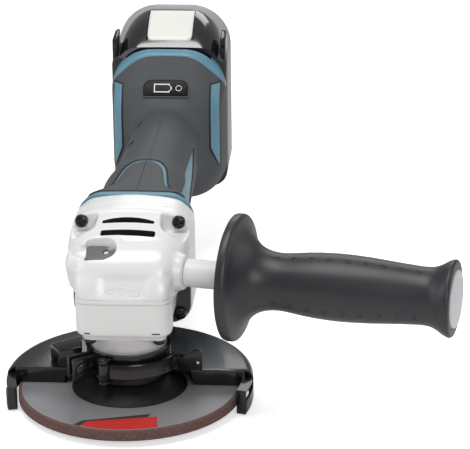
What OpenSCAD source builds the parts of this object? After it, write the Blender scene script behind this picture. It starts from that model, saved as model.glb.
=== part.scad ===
// Cordless angle grinder with side handle, guard, grinding wheel and slide-on battery.
// Frame: Z is the wheel axis pointing up, Y runs back along the body, X to the side handle.
// The origin is on the wheel axis, on the face that the wheel seats against.

/* [Wheel] */
// Outside diameter of the grinding wheel
wheel_d = 125; // [115:1:127]
// Thickness of the wheel at the rim
wheel_t = 6; // [4:0.5:7]
// Diameter of the wheel's centre hole
wheel_bore_d = 22.23; // [22:0.01:22.5]
// How far the raised hub stands above the rim
wheel_drop = 6; // [4:0.5:8]
// Diameter where the raised hub meets the rim
hub_base_d = 64; // [60:1:70]
// Diameter of the hub's flat top
hub_flat_d = 44; // [42:1:50]

/* [Guard] */
// Gap between the wheel's edge and the guard's wall
guard_gap = 5.4; // [3:0.2:8]
// Height of the guard's top face above the wheel seat
guard_top = 2; // [1:0.5:3]
// Depth of the guard from its top face down
guard_depth = 19; // [17:0.5:24]
// Sheet thickness of the guard
guard_t = 1.6; // [1.2:0.1:2]

/* [Gear head] */
// Height of the motor axis above the wheel seat
motor_z = 55; // [54:0.5:58]
// Width and height of the head's square rear flange
head_w = 68; // [66:1:72]
// Where the head ends behind the wheel axis
head_rear = 48; // [48:0.5:52]
// Where the nose begins in front of the wheel axis
nose_front = 27; // [27:0.5:30]
// Width of the nose
nose_w = 53; // [53:0.5:58]
// Height of the head's underside above the wheel seat
head_base = 32; // [31:0.5:33]
// Diameter of the bearing box's neck
neck_d = 42.6; // [42:0.2:45]
// Distance between the head screws, across and up
head_screw_pitch = 54.5; // [54:0.5:55]

/* [Gears] */
// Teeth on the spindle's bevel gear
gear_teeth = 32; // [32:4:36]
// Teeth on the motor's pinion
pinion_teeth = 10; // [9:1:11]
// Pitch radius of the bevel gear
gear_r = 22; // [21:0.5:22]
// Radius of the threaded spindle nose
spindle_r = 7; // [7:0.1:7.2]

/* [Body] */
// Width of the motor barrel
barrel_w = 52; // [50:1:58]
// Where the motor barrel ends behind the wheel axis
barrel_rear = 116; // [116:1:124]
// Width of the grip
grip_w = 46; // [42:1:50]
// Height of the grip's top above the wheel seat
grip_top = 86; // [84:0.5:88]
// Height of the grip's underside above the wheel seat
grip_base = 34; // [33:0.5:36]
// Where the grip flares into the tail
grip_rear = 222; // [210:1:240]
// Width of the tail and of the battery
tail_w = 75; // [72:1:80]
// Wall thickness of the moulded shells
shell_t = 2.6; // [2:0.2:3]

/* [Battery] */
// Height of the battery
battery_h = 112; // [108:1:118]
// Depth of the battery behind the tail
battery_depth = 50; // [46:1:60]
// Height of the battery's foot above the wheel seat
battery_foot = 23; // [20:1:26]
// How far the battery slides up to come off
battery_travel = 82; // [80:1:90]

/* [Side handle] */
// How far the side handle leans forward from square
handle_lean = 12.7; // [0:0.1:15]
// Height of the side handle's axis above the wheel seat
handle_z = 63.5; // [62:0.5:66]
// Length of the side handle's grip
handle_len = 126; // [116:1:134]
// Diameter of the hand flange on the side handle
handle_flange_d = 70; // [60:1:72]
// Diameter of the side handle's grip at its middle
handle_d = 36; // [32:1:38]
// Radius of the side handle's threaded hole
handle_thread_r = 4; // [4:0.1:5]

/* [Switch] */
// Angle that the paddle turns when pressed
paddle_travel = 4.6; // [4:0.1:4.6]
// Width of the paddle
paddle_w = 30; // [24:1:31]

/* [Hidden] */
$fn = 64;
eps = 0.01;
fit = 0.02;          // pressed or screwed together within one body
running = 0.05;      // a shaft turning in its bearing
slide = 0.35;        // moulded pieces that move past each other
reach = 400;         // longer than anything in the model

// Wheel, flanges and spindle
wheel_r = wheel_d / 2;
bore_r = wheel_bore_d / 2;
rim_top = -wheel_drop;
rim_base = rim_top - wheel_t;
flange_r = 20;
flange_h = 9;
pilot_r = bore_r - 0.1;
pilot_h = 3;
nut_r = 19;
nut_boss_r = 12;
nut_pin_r = 2.5;
nut_pin_x = 15;
nut_flange_t = 3;
nut_h = 6;
nut_pilot_h = 2;
nose_proud = 2.5;
spindle_nose_z = -(wheel_t + nut_h + nose_proud);
shoulder_r = 9;
bearing_z = 18;
bearing_h = 11;
bearing_r = 17.5;
bearing_seat_r = 7.5;
collar_r = 8.5;
gear_seat_z = motor_z - 22;
gear_hub_top = motor_z - 9;
circlip_t = 1;
journal_r = 4;
journal_z = motor_z - 6.6;
spindle_top = motor_z + 14;
needle_r = 6;
needle_z = motor_z + 5;

// Bevel gears share one apex, where the two axes cross
cone_gear = atan(gear_teeth / pinion_teeth);
cone_dist = gear_r / sin(cone_gear);
face_w = 6.5;
inner_share = (cone_dist - face_w) / cone_dist;
tooth_up = 0.85;
tooth_down = 2.4;
flank = 28;
gap_h = 3.9;
gap_start = cone_dist - face_w - 3.5;
root_turn = atan(tooth_down / cone_dist);
pinion_r = gear_r * pinion_teeth / gear_teeth;
gear_tip_r = gear_r + 0.3;
lock_hole_r = 2.35;
lock_circle_r = 10.3;
lock_angle = 221;
lock_pin_r = 2;
lock_travel = 5;
lock_x = lock_circle_r * cos(lock_angle);
lock_y = lock_circle_r * sin(lock_angle);
lock_floor = spindle_top + 0.5;
lock_top = lock_floor + 7.5;

// Gear head
head_top = motor_z + head_w / 2 + 0.5;
head_bottom = motor_z - head_w / 2 - 0.5;
chamber_r = 23.3;
chamber_top = motor_z + 4.6;
screw_x = head_screw_pitch / 2;
screw_head_y = neck_d / 2 + 0.7;
screw_head_r = 4;
screw_r = 2;
screw_len = head_rear + 12 - screw_head_y;
front_bearing_y = 26;
front_bearing_h = 8;
front_bearing_r = 13;
front_bearing_bore = 5;
seam_z = motor_z - 3;
duct_z = motor_z + 21.5;
box_screw_y = 17.5;
box_screw_x = sqrt(pow(neck_d / 2 + 4.5312, 2) - pow(box_screw_y, 2));
box_flange_t = 4;

// Motor
fan_y = 37;
fan_h = 9;
fan_r = 28;
baffle_y = head_rear;
stator_y = 58;
stator_h = 38;
stator_r = 22;
stator_bore = 13.4;
rotor_r = 12.6;
rotor_y = 57;
rotor_h = 40;
rear_bearing_y = 104;
rear_bearing_h = 6;
rear_bearing_r = 9.5;
rear_bearing_bore = 3.5;
cushion_t = 1.5;
shaft_end = rear_bearing_y + rear_bearing_h + 1;
thread_y = 11;

// Body sections: half width, bottom, top, corner radius
head_sec = [head_w / 2 - 0.5, head_bottom + 0.5, head_top - 0.5, 13];
barrel_sec = [barrel_w / 2, motor_z - 25, motor_z + 33, 20];
grip_sec = [grip_w / 2, grip_base, grip_top, 20];
flare_y = 74;

// Tail and battery rail
tail_front = 240;
tail_rear = 254;
tail_top = grip_top + 30;
tail_bottom = 18;
rail_front = 244.5;
rail_w = 31;
rail_neck_w = 27.5;
rail_lip_y = 249.8;
rail_base = 30;
rail_top = 107;
battery_front = tail_rear + 0.4;
battery_rear = battery_front + battery_depth;
battery_top = battery_foot + battery_h;
case_split = battery_front + 16;
case_t = 2.2;
cell_r = 9;
cell_pitch = 18.1;
cell_rows = floor((battery_h - 14) / cell_pitch);
cells_top = battery_foot + case_t + cell_rows * cell_pitch + 0.6;
cell_len = 65;

// Side handle runs along its own axis, measured from the wheel axis
handle_seat = 35;
handle_hole = 10;
handle_boss_r = 10.2;
collar_len = 25;
collar_or = 7.8;
flange_t = 6;
grip_start = handle_seat + collar_len;
cap_t = 4;
stud_in_grip = 24;

// Paddle
paddle_y = grip_rear - 4;
paddle_z = 38;
paddle_front = barrel_rear + 8;
paddle_t = 3;
paddle_drop = 7;
paddle_wall = 2;
paddle_pin_r = 2;
paddle_hub_r = 4;
recess_top = 45;
recess_w = paddle_w / 2 + 0.6;
recess_front = barrel_rear + 2.5;
recess_rear = paddle_y + paddle_hub_r + 0.6;
plunger_y = barrel_rear + 44;
plunger_r = 2.5;
switch_base = recess_top + 2.2;
switch_top = 66;
lever_y = barrel_rear + 25;
lever_leg = 14;
slot_front = lever_y - 12;
slot_rear = lever_y + 8;

// Height of the paddle's upper face at a place along the body, at rest
function paddle_top_at(y) = paddle_z - (paddle_y - y) * tan(paddle_travel)
    - paddle_drop / cos(paddle_travel);

lever_z = paddle_top_at(lever_y) + 0.6;

// Guard collar and its clamp
guard_r = wheel_r + guard_gap + guard_t;
collar_in = neck_d / 2 + running;
collar_out = collar_in + 2.2;
collar_base = guard_top - guard_t;
collar_top = 19.5;
guard_horn = 20;
ear_gap = 3;
lever_r = collar_out + 2.2;
ear_angle = 216;
ear_screw = 8.5;
hinge_angle = 247;
hinge_out = 5;
hinge_x = (collar_out + hinge_out) * cos(hinge_angle);
hinge_y = (collar_out + hinge_out) * sin(hinge_angle);

// Sloping face in front of the tail
slope_top = grip_top + 20;
slope = atan2(slope_top - grip_top, tail_front - 2 - grip_rear);
panel_at = 14.5;

// What the grip holds, and the screws that join its halves, as [distance back, height]
switch_front = plunger_y - 14;
switch_rear = plunger_y + 22;
plunger_base = paddle_top_at(plunger_y + plunger_r) + slide;
controller_front = switch_rear + 8;
controller_rear = grip_rear + 14;
controller_base = 50;
controller_top = 74;
lead_r = 1;
lead_x = [-2.5, 0, 2.5];
lead_z = motor_z + 17.4;
handle_screw_at = [[barrel_rear + 8, grip_top - 8], [168, grip_top - 7.5], [206, grip_top - 7.5],
    [barrel_rear + 10, 53], [235, 36]];

// Battery release button
button_w = 30;
button_y0 = battery_front + 9.6;
button_y1 = battery_rear - 16;
button_floor = cells_top + 1.4;
button_travel = 2;
button_base = button_floor + button_travel + 1;

// Basic shapes

module tube_z(r_out, r_in, z0, z1) {
    translate([0, 0, z0]) difference() {
        cylinder(h = z1 - z0, r = r_out);
        translate([0, 0, -eps]) cylinder(h = z1 - z0 + 2 * eps, r = r_in);
    }
}

module rod_y(r, y0, y1, x = 0, z = motor_z) {
    translate([x, y0, z]) rotate([-90, 0, 0]) cylinder(h = y1 - y0, r = r);
}

module tube_y(r_out, r_in, y0, y1) {
    difference() {
        rod_y(r_out, y0, y1);
        rod_y(r_in, y0 - eps, y1 + eps);
    }
}

// A spun solid about the motor axis, its outline given as [radius, distance back]
module spun_y(points) {
    translate([0, 0, motor_z]) rotate([-90, 0, 0]) rotate_extrude() polygon(points);
}

// A spun solid about the side handle's axis, its outline given as [radius, distance out]
module spun_handle(points) {
    on_handle_axis() rotate_extrude() polygon(points);
}

module on_handle_axis(side = 1) {
    translate([0, 0, handle_z]) mirror([side > 0 ? 0 : 1, 0, 0])
        rotate([0, 0, -handle_lean]) rotate([0, 90, 0]) children();
}

// Rounded rectangle across the body: half width, bottom, top, corner radius
module section(s, wall = 0) {
    round_r = s[3] - wall;
    polygon([for (q = [0:3], k = [0:8]) let (a = q * 90 + k * 11.25)
        [(q == 0 || q == 3 ? 1 : -1) * (s[0] - s[3]) + round_r * cos(a),
            (q < 2 ? s[2] - s[3] : s[1] + s[3]) + round_r * sin(a)]]);
}

module slab(s, y0, y1, wall = 0) {
    translate([0, y1, 0]) rotate([90, 0, 0]) linear_extrude(y1 - y0) section(s, wall);
}

module box(x0, x1, y0, y1, z0, z1) {
    translate([x0, y0, z0]) cube([x1 - x0, y1 - y0, z1 - z0]);
}

module at_head_screws() {
    for (x = [-1, 1], z = [-1, 1]) translate([x * screw_x, 0, motor_z + z * screw_x]) children();
}

// Coil spring standing on z = 0, swept as rings of six points
module spring(r, wire, h, turns) {
    steps = 12 * turns;
    sides = 6;
    rings = [for (i = [0:steps], k = [0:sides - 1])
        let (turn = i * 30, around = k * 360 / sides,
            out = r - wire * cos(around))
            [out * cos(turn), out * sin(turn), wire + (h - 2 * wire) * i / steps + wire * sin(around)]];
    walls = [for (i = [0:steps - 1], k = [0:sides - 1])
        let (n = (k + 1) % sides)
            [i * sides + k, i * sides + n, (i + 1) * sides + n, (i + 1) * sides + k]];
    ends = [[for (k = [sides - 1:-1:0]) k], [for (k = [0:sides - 1]) steps * sides + k]];
    polyhedron(points = rings, faces = concat(walls, ends), convexity = 10);
}

// Gear head

module head_outline() {
    intersection() {
        translate([-reach / 2, 0, 0]) rotate([90, 0, 90]) linear_extrude(reach) polygon([
            [-nose_front, head_base], [-nose_front, seam_z], [-nose_front + 2, motor_z + 5],
            [-nose_front + 6, motor_z + 13], [-13, motor_z + 21], [0, motor_z + 27],
            [16, motor_z + 31.5], [30, motor_z + 34],
            [head_rear, head_top], [head_rear, head_bottom], [screw_head_y, head_bottom],
            [screw_head_y, head_base]]);
        linear_extrude(reach) offset(r = 8, $fn = 32) offset(delta = -8) polygon([
            [-nose_w / 2, -nose_front], [nose_w / 2, -nose_front], [nose_w / 2, -14],
            [head_w / 2, 3], [head_w / 2, head_rear + 20], [-head_w / 2, head_rear + 20],
            [-head_w / 2, 3], [-nose_w / 2, -14]]);
        slab([head_w / 2, head_bottom, head_top, 13], -60, head_rear);
    }
}

module gear_housing() {
    color("silver") difference() {
        union() {
            head_outline();
            // seat of the side handle, one on each side
            for (side = [-1, 1]) on_handle_axis(side) translate([0, 0, handle_seat - handle_hole])
                cylinder(h = handle_hole, r = handle_boss_r);
        }
        // gear chamber and the seat of the spindle's top bearing
        translate([0, 0, head_base - eps]) cylinder(h = chamber_top - head_base, r = chamber_r);
        translate([0, 0, needle_z]) cylinder(h = 10, r = needle_r + fit);
        translate([0, 0, chamber_top - 1]) cylinder(h = 2, r = needle_r + fit);
        // pinion passage, motor bearing seat and fan chamber
        rod_y(10.5, 9, head_rear);
        rod_y(front_bearing_r + fit, front_bearing_y, head_rear);
        rod_y(fan_r + 2, fan_y - 1.5, head_rear + eps);
        // exhaust duct up to the two slots
        box(-15, 15, 2, fan_y, duct_z, duct_z + 3);
        box(-14.5, 14.5, 0, 4.5, duct_z + 1.5, reach);
        box(-14.5, 14.5, 14, 18, duct_z + 1.5, reach);
        // shaft lock bore and button pocket
        translate([lock_x, lock_y, chamber_top - 1]) cylinder(h = 30, r = lock_pin_r + running);
        translate([0, 0, lock_floor]) linear_extrude(40) lock_outline(slide);
        translate([lock_x, lock_y, lock_floor - 5]) cylinder(h = 6, r = 3.6);
        // head screws: pockets in front, clearance behind
        at_head_screws() {
            translate([0, -80, 0]) rotate([-90, 0, 0]) cylinder(h = 80 + screw_head_y, r = 5.6);
            rotate([-90, 0, 0]) cylinder(h = 60, r = screw_r + 0.2);
        }
        // threaded holes for the side handle, one on each side
        for (side = [-1, 1]) on_handle_axis(side) {
            translate([0, 0, handle_seat - handle_hole]) cylinder(h = 20, r = handle_thread_r);
            translate([0, 0, handle_seat]) cylinder(h = 20, r = 11);
        }
        // tapped holes for the bearing box
        at_box_screws() translate([0, 0, head_base - eps]) cylinder(h = 9, r = 1.7);
    }
}

module at_box_screws() {
    for (x = [-1, 1], y = [-1, 1]) translate([x * box_screw_x, y * box_screw_y, 0]) children();
}

module gear_housing_screws() {
    color([0.1, 0.1, 0.1]) at_head_screws() difference() {
        union() {
            translate([0, screw_head_y - 3.4, 0]) rotate([-90, 0, 0])
                cylinder(h = 3.4, r = screw_head_r);
            translate([0, screw_head_y, 0]) rotate([-90, 0, 0])
                cylinder(h = screw_len - 2, r = screw_r);
        }
        for (turn = [0, 90]) translate([0, screw_head_y - 3.5, 0]) rotate([0, turn, 0])
            translate([-2.4, 0, -0.5]) cube([4.8, 2, 1]);
    }
}

module bearing_box() {
    color([0.75, 0.75, 0.76]) difference() {
        union() {
            translate([0, 0, 14]) cylinder(h = head_base - 14, r = neck_d / 2);
            translate([0, 0, head_base - box_flange_t]) linear_extrude(box_flange_t)
                offset(r = 4, $fn = 32) square(2 * [box_screw_x, box_screw_y], center = true);
        }
        translate([0, 0, 13]) cylinder(h = 6, r = shoulder_r + 1);
        translate([0, 0, bearing_z]) cylinder(h = bearing_h, r = bearing_r + fit);
        translate([0, 0, bearing_z + bearing_h - eps]) cylinder(h = 5, r = 18.6);
        at_box_screws() translate([0, 0, 20]) cylinder(h = 20, r = 2.2);
    }
}

module bearing_box_screws() {
    color([0.12, 0.12, 0.12]) at_box_screws() difference() {
        union() {
            translate([0, 0, head_base - 7]) cylinder(h = 3, r = 3.4);
            translate([0, 0, head_base - 4]) cylinder(h = 12, r = 1.66);
        }
        translate([0, 0, head_base - 8]) cylinder(h = 2.5, r = 1.7, $fn = 6);
    }
}

module bearing_retainer() {
    color("dimgray") tube_z(18.5, 13.6, bearing_z + bearing_h, head_base);
}

module spindle_bearing() {
    color("lightsteelblue") {
        tube_z(bearing_r, 14.2, bearing_z, bearing_z + bearing_h);
        for (a = [0:45:359]) rotate([0, 0, a]) translate([12.4, 0, bearing_z + bearing_h / 2])
            sphere(r = 1.9);
        tube_z(10.6, bearing_seat_r + running, bearing_z, bearing_z + bearing_h);
        tube_z(14.2, 10.6, bearing_z + 1.2, bearing_z + 2);
    }
}

module spindle_top_bearing() {
    color("lightsteelblue") tube_z(needle_r, journal_r + running, needle_z, needle_z + 9.6);
}

module spindle() {
    color("gainsboro")
        rotate_extrude() polygon([[0, spindle_nose_z], [spindle_r - 0.8, spindle_nose_z],
            [spindle_r, spindle_nose_z + 0.8], [spindle_r, flange_h], [shoulder_r, flange_h],
            [shoulder_r, bearing_z], [bearing_seat_r, bearing_z],
            [bearing_seat_r, bearing_z + bearing_h], [collar_r, bearing_z + bearing_h],
            [collar_r, gear_seat_z], [spindle_r, gear_seat_z], [spindle_r, gear_hub_top],
            [spindle_r - 0.8, gear_hub_top], [spindle_r - 0.8, gear_hub_top + circlip_t],
            [spindle_r, gear_hub_top + circlip_t], [spindle_r, journal_z],
            [journal_r, journal_z], [journal_r, spindle_top], [0, spindle_top]]);
}

module bevel_gear() {
    tip_out = [gear_tip_r, motor_z - pinion_r + tooth_up * sin(cone_gear)];
    tip_in = [gear_r * inner_share + 0.2,
        motor_z - (pinion_r - tooth_up * sin(cone_gear)) * inner_share];
    color("darkgray") difference() {
        rotate_extrude() polygon([[spindle_r + fit, gear_seat_z], [14, gear_seat_z],
            [14, motor_z - 15], [gear_tip_r, motor_z - 12.5], tip_out, tip_in,
            [tip_in[0] - 0.9, tip_in[1] - 2.6], [13, gear_hub_top],
            [spindle_r + fit, gear_hub_top]]);
        for (i = [0:gear_teeth - 1]) rotate([0, 0, 90 + i * 360 / gear_teeth])
            translate([0, 0, motor_z]) rotate([0, 90 - cone_gear + root_turn, 0])
                translate([gap_start, 0, 0]) rotate([90, 0, 90])
                    linear_extrude(cone_dist + 6 - gap_start) v_gap();
        for (i = [0:3]) rotate([0, 0, lock_angle + i * 90])
            translate([lock_circle_r, 0, gear_seat_z - eps]) cylinder(h = 14, r = lock_hole_r);
    }
}

module v_gap() {
    polygon([[0, 0], [gap_h * tan(flank), gap_h], [-gap_h * tan(flank), gap_h]]);
}

module pinion() {
    tip_out = [pinion_r + tooth_up * sin(cone_gear), gear_r - 0.3];
    tip_in = tip_out * inner_share;
    color("darkgray") difference() {
        spun_y([[2.5 + fit, tip_in[1]], tip_in, tip_out, [tip_out[0], 22.5], [6.2, 22.5],
            [6.2, 24.9], [2.5 + fit, 24.9]]);
        for (i = [0:pinion_teeth - 1]) translate([0, 0, motor_z])
            rotate([0, (i + 0.5) * 360 / pinion_teeth + (pinion_teeth % 2) * 180 / pinion_teeth, 0])
                rotate([90 - cone_gear - root_turn, 0, 0]) translate([0, gap_start, 0])
                    rotate([-90, 0, 0]) linear_extrude(cone_dist + 1.6 - gap_start)
                        mirror([0, 1]) v_gap();
    }
}

module pinion_nut() {
    front = (gear_r - 0.3) * inner_share;
    color("gray") translate([0, front - 4, motor_z]) rotate([-90, 0, 0]) difference() {
        cylinder(h = 4, r = 4.5, $fn = 6);
        translate([0, 0, -eps]) cylinder(h = 5, r = 2.5 + fit);
    }
}

module gear_circlip() {
    color("dimgray") difference() {
        tube_z(7.9, spindle_r - 0.7, gear_hub_top + fit, gear_hub_top + circlip_t - fit);
        box(-1.5, 1.5, 3, 12, gear_hub_top - 1, gear_hub_top + 3);
    }
}

module inner_flange() {
    color([0.2, 0.2, 0.21]) rotate_extrude() polygon([[spindle_r + fit, -pilot_h],
        [pilot_r, -pilot_h], [pilot_r, 0], [flange_r, 0], [flange_r, flange_h - 1],
        [flange_r - 1, flange_h], [spindle_r + fit, flange_h]]);
}

module grinding_wheel() {
    color([0.42, 0.26, 0.2]) rotate_extrude() polygon([[bore_r, 0], [hub_flat_d / 2, 0],
        [hub_base_d / 2, rim_top], [wheel_r, rim_top], [wheel_r, rim_base],
        [hub_base_d / 2 - 2, rim_base], [hub_flat_d / 2 - 2, -wheel_t], [bore_r, -wheel_t]]);
}

module lock_nut() {
    color([0.25, 0.25, 0.26]) difference() {
        rotate_extrude() polygon([[spindle_r + fit, -wheel_t + nut_pilot_h],
            [pilot_r, -wheel_t + nut_pilot_h], [pilot_r, -wheel_t], [nut_r, -wheel_t],
            [nut_r, -wheel_t - nut_flange_t], [nut_boss_r, -wheel_t - nut_flange_t],
            [nut_boss_r, -wheel_t - nut_h], [spindle_r + fit, -wheel_t - nut_h]]);
        for (x = [-1, 1]) translate([x * nut_pin_x, 0, -wheel_t - nut_h])
            cylinder(h = nut_h + eps, r = nut_pin_r);
    }
}

// Shaft lock

module lock_outline(gap = 0) {
    hull() {
        translate([-11, -9.5]) circle(r = 7 + gap, $fn = 32);
        translate([-17, -9.5]) square([4 + 2 * gap, 14 + 2 * gap], center = true);
    }
}

module lock_button() {
    color([0.3, 0.3, 0.32]) difference() {
        translate([0, 0, lock_floor + lock_travel + 0.3])
            linear_extrude(lock_top - lock_floor - lock_travel + 1.5) lock_outline();
        translate([lock_x, lock_y, lock_floor]) cylinder(h = 7, r = lock_pin_r + fit);
    }
}

module lock_pin() {
    color("silver") translate([lock_x, lock_y, gear_hub_top + circlip_t + 1.2])
        cylinder(h = lock_floor + 7 - gear_hub_top - circlip_t - 1.2, r = lock_pin_r);
}

module lock_spring() {
    color("gray") translate([lock_x, lock_y, lock_floor - 4.8])
        spring(2.8, 0.35, 9.8, 4);
}

// Guard and its clamp

module wheel_guard() {
    rim = guard_top - guard_depth;
    color([0.05, 0.05, 0.06]) {
        difference() {
            // top plate, wall and turned-in bottom edge
            rotate_extrude() polygon([[collar_out + running, collar_base],
                [guard_r - guard_t, collar_base], [guard_r - guard_t, rim + guard_t],
                [guard_r - 5, rim + guard_t], [guard_r - 5, rim], [guard_r, rim],
                [guard_r, guard_top], [collar_out + running, guard_top]]);
            // the wall runs a little further forward than the plate
            box(-reach, reach, -reach, -guard_horn, -50, 50);
            box(-reach, reach, -guard_horn - 1, 0, guard_top - 4, 50);
        }
        // stiffening lips along the front edge
        for (side = [0, 1]) mirror([side, 0, 0])
            box(hub_base_d / 2 + 2, guard_r - 0.8, 0.3, guard_t, rim_top + 1, guard_top - 0.5);
    }
}

module guard_collar() {
    color([0.08, 0.08, 0.09]) difference() {
        union() {
            tube_z(collar_out, collar_in, collar_base, collar_top);
            // clamp ears either side of the split
            rotate([0, 0, ear_angle]) for (s = [0, 1])
                box(collar_out - 1, collar_out + ear_screw + 5, s * (ear_gap + 3) - ear_gap / 2 - 3,
                    s * (ear_gap + 3) - ear_gap / 2, 5, 17);
            // lugs of the lever's hinge
            for (z = [[4.2, 6], [16.6, 18.4]]) translate([hinge_x, hinge_y, z[0]])
                rotate([0, 0, hinge_angle]) hull() {
                    cylinder(h = z[1] - z[0], r = 3.2, $fn = 32);
                    translate([-hinge_out - 0.4, -2.5, 0]) cube([1, 5, z[1] - z[0]]);
                }
        }
        rotate([0, 0, ear_angle]) box(collar_in - 2, reach, -ear_gap / 2, ear_gap / 2, 0, 30);
        rotate([0, 0, ear_angle]) translate([collar_out + ear_screw, -30, 11]) rotate([-90, 0, 0])
            cylinder(h = 60, r = 2.1);
        translate([hinge_x, hinge_y, 0]) cylinder(h = 30, r = 1.5 + running);
    }
}

module clamp_screw() {
    color("silver") rotate([0, 0, ear_angle]) translate([collar_out + ear_screw, 0, 11])
        rotate([-90, 0, 0]) difference() {
            union() {
                translate([0, 0, ear_gap / 2 + 3]) cylinder(h = 2.6, r = 4);
                translate([0, 0, -9]) cylinder(h = 9 + ear_gap / 2 + 3, r = 2);
            }
            for (turn = [0, 90]) rotate([0, 0, turn])
                translate([-2.4, -0.5, ear_gap / 2 + 4.4]) cube([4.8, 1, 3]);
        }
}

module clamp_nut() {
    color("gray") rotate([0, 0, ear_angle]) translate([collar_out + ear_screw, 0, 11])
        rotate([-90, 0, 0]) translate([0, 0, -ear_gap / 2 - 3 - 3.2]) difference() {
            cylinder(h = 3.2, r = 4, $fn = 6);
            translate([0, 0, -eps]) cylinder(h = 4, r = 2 + fit);
        }
}

module lever_pin() {
    color("silver") translate([hinge_x, hinge_y, 3.6]) {
        cylinder(h = 15.4, r = 1.5);
        cylinder(h = 0.6, r = 2.6);
        translate([0, 0, 14.8]) cylinder(h = 0.6, r = 2.6);
    }
}

module clamp_lever() {
    color([0.1, 0.1, 0.11]) difference() {
        union() {
            translate([hinge_x, hinge_y, 6.3]) cylinder(h = 10, r = 2.9);
            translate([0, 0, 6.8]) rotate([0, 0, hinge_angle + 4]) rotate_extrude(angle = 96)
                translate([lever_r, 0]) square([2, 9]);
        }
        translate([hinge_x, hinge_y, 0]) cylinder(h = 30, r = 1.5 + running);
    }
}

// Motor

module rotor_shaft() {
    color("gainsboro") spun_y([[0, thread_y], [2.5, thread_y], [2.5, 24.9],
        [front_bearing_bore, 24.9], [front_bearing_bore, rear_bearing_y - 2],
        [rear_bearing_bore, rear_bearing_y - 2], [rear_bearing_bore, shaft_end],
        [0, shaft_end]]);
}

module rotor_core() {
    color("gray") difference() {
        rod_y(rotor_r - 1.6, rotor_y, rotor_y + rotor_h);
        rod_y(front_bearing_bore + fit, rotor_y - eps, rotor_y + rotor_h + eps);
    }
}

module rotor_magnets() {
    color([0.35, 0.35, 0.38]) for (i = [0:3]) translate([0, rotor_y + rotor_h - 1, motor_z])
        rotate([90, i * 90 + 4, 0])
            rotate_extrude(angle = 82) translate([rotor_r - 1.55, 0]) square([1.5, rotor_h - 2]);
}

module cooling_fan() {
    color([0.9, 0.88, 0.8]) difference() {
        union() {
            rod_y(8.5, fan_y, fan_y + fan_h);
            rod_y(fan_r - 2, fan_y + fan_h - 2, fan_y + fan_h);
            for (i = [0:10]) translate([0, 0, motor_z]) rotate([0, i * 360 / 11, 0])
                translate([8, fan_y + 0.5, -0.8]) cube([fan_r - 10.4, fan_h - 1, 1.6]);
        }
        rod_y(front_bearing_bore + fit, fan_y - eps, fan_y + fan_h + eps);
    }
}

module motor_front_bearing() {
    color("lightsteelblue") tube_y(front_bearing_r, front_bearing_bore + running,
        front_bearing_y, front_bearing_y + front_bearing_h);
}

module motor_rear_bearing() {
    color("lightsteelblue") tube_y(rear_bearing_r, rear_bearing_bore + running,
        rear_bearing_y, rear_bearing_y + rear_bearing_h);
}

module bearing_cushion() {
    color([0.1, 0.1, 0.1]) tube_y(rear_bearing_r + cushion_t, rear_bearing_r + fit,
        rear_bearing_y, rear_bearing_y + rear_bearing_h);
}

module air_baffle() {
    color([0.15, 0.15, 0.15]) difference() {
        intersection() {
            rod_y(fan_r + 4, baffle_y, baffle_y + 1.6);
            slab(head_sec, baffle_y, baffle_y + 1.6, shell_t + 0.4);
        }
        rod_y(18, baffle_y - 1, baffle_y + 3);
    }
}

module stator_core() {
    color([0.4, 0.4, 0.42]) difference() {
        rod_y(stator_r, stator_y, stator_y + stator_h);
        rod_y(stator_bore, stator_y - eps, stator_y + stator_h + eps);
        for (i = [0:5]) translate([0, stator_y - eps, motor_z]) rotate([0, 30 + i * 60, 0])
            translate([15.5, 0, -3.8]) cube([4, stator_h + 2 * eps, 7.6]);
    }
}

module stator_windings() {
    color([0.72, 0.4, 0.2]) for (i = [0:5]) translate([0, stator_y - 4, motor_z])
        rotate([0, 30 + i * 60, 0]) translate([15.7, 0, -3.6]) cube([3.6, stator_h + 8, 7.2]);
}

module motor_leads() {
    color([0.8, 0.3, 0.1]) for (x = lead_x)
        rod_y(lead_r, stator_y + stator_h + 4, controller_front - 0.3, x, lead_z);
}

module motor_housing() {
    color([0.1, 0.42, 0.55]) difference() {
        union() {
            difference() {
                union() {
                    hull() {
                        slab(head_sec, head_rear, head_rear + 4);
                        slab(barrel_sec, flare_y, flare_y + 1);
                    }
                    slab(barrel_sec, flare_y, barrel_rear);
                }
                hull() {
                    slab(head_sec, head_rear - eps, head_rear + 4, shell_t);
                    slab(barrel_sec, flare_y, flare_y + 1, shell_t);
                }
                slab(barrel_sec, flare_y, barrel_rear + eps, shell_t);
            }
            // sleeve that holds the stator
            intersection() {
                slab(barrel_sec, flare_y - 14, barrel_rear);
                union() {
                    tube_y(stator_r + 2.4, stator_r + running, stator_y + 1, stator_y + stator_h);
                    for (a = [0, 180]) translate([0, 0, motor_z]) rotate([0, a, 0])
                        box(stator_r + 1, 40, stator_y + 1, stator_y + stator_h, -3, 3);
                }
            }
            // wall that holds the rear bearing
            intersection() {
                slab(barrel_sec, rear_bearing_y, rear_bearing_y + rear_bearing_h);
                difference() {
                    box(-40, 40, rear_bearing_y, rear_bearing_y + rear_bearing_h, 0, motor_z + 13.5);
                    rod_y(rear_bearing_r + cushion_t + fit, 90, 130);
                }
            }
            // bosses for the head screws
            intersection() {
                slab(head_sec, head_rear, head_rear + 12, 1);
                at_head_screws() translate([0, head_rear, 0]) rotate([-90, 0, 0])
                    cylinder(h = 12, r = 4.4);
            }
        }
        at_head_screws() rotate([-90, 0, 0]) cylinder(h = 60, r = screw_r + fit);
        // side vents
        for (i = [0:4], side = [-1, 1])
            translate([side * 34, 57 + i * 4.4, motor_z + 2]) cube([24, 2, 16], center = true);
    }
}

// Body shells

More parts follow.
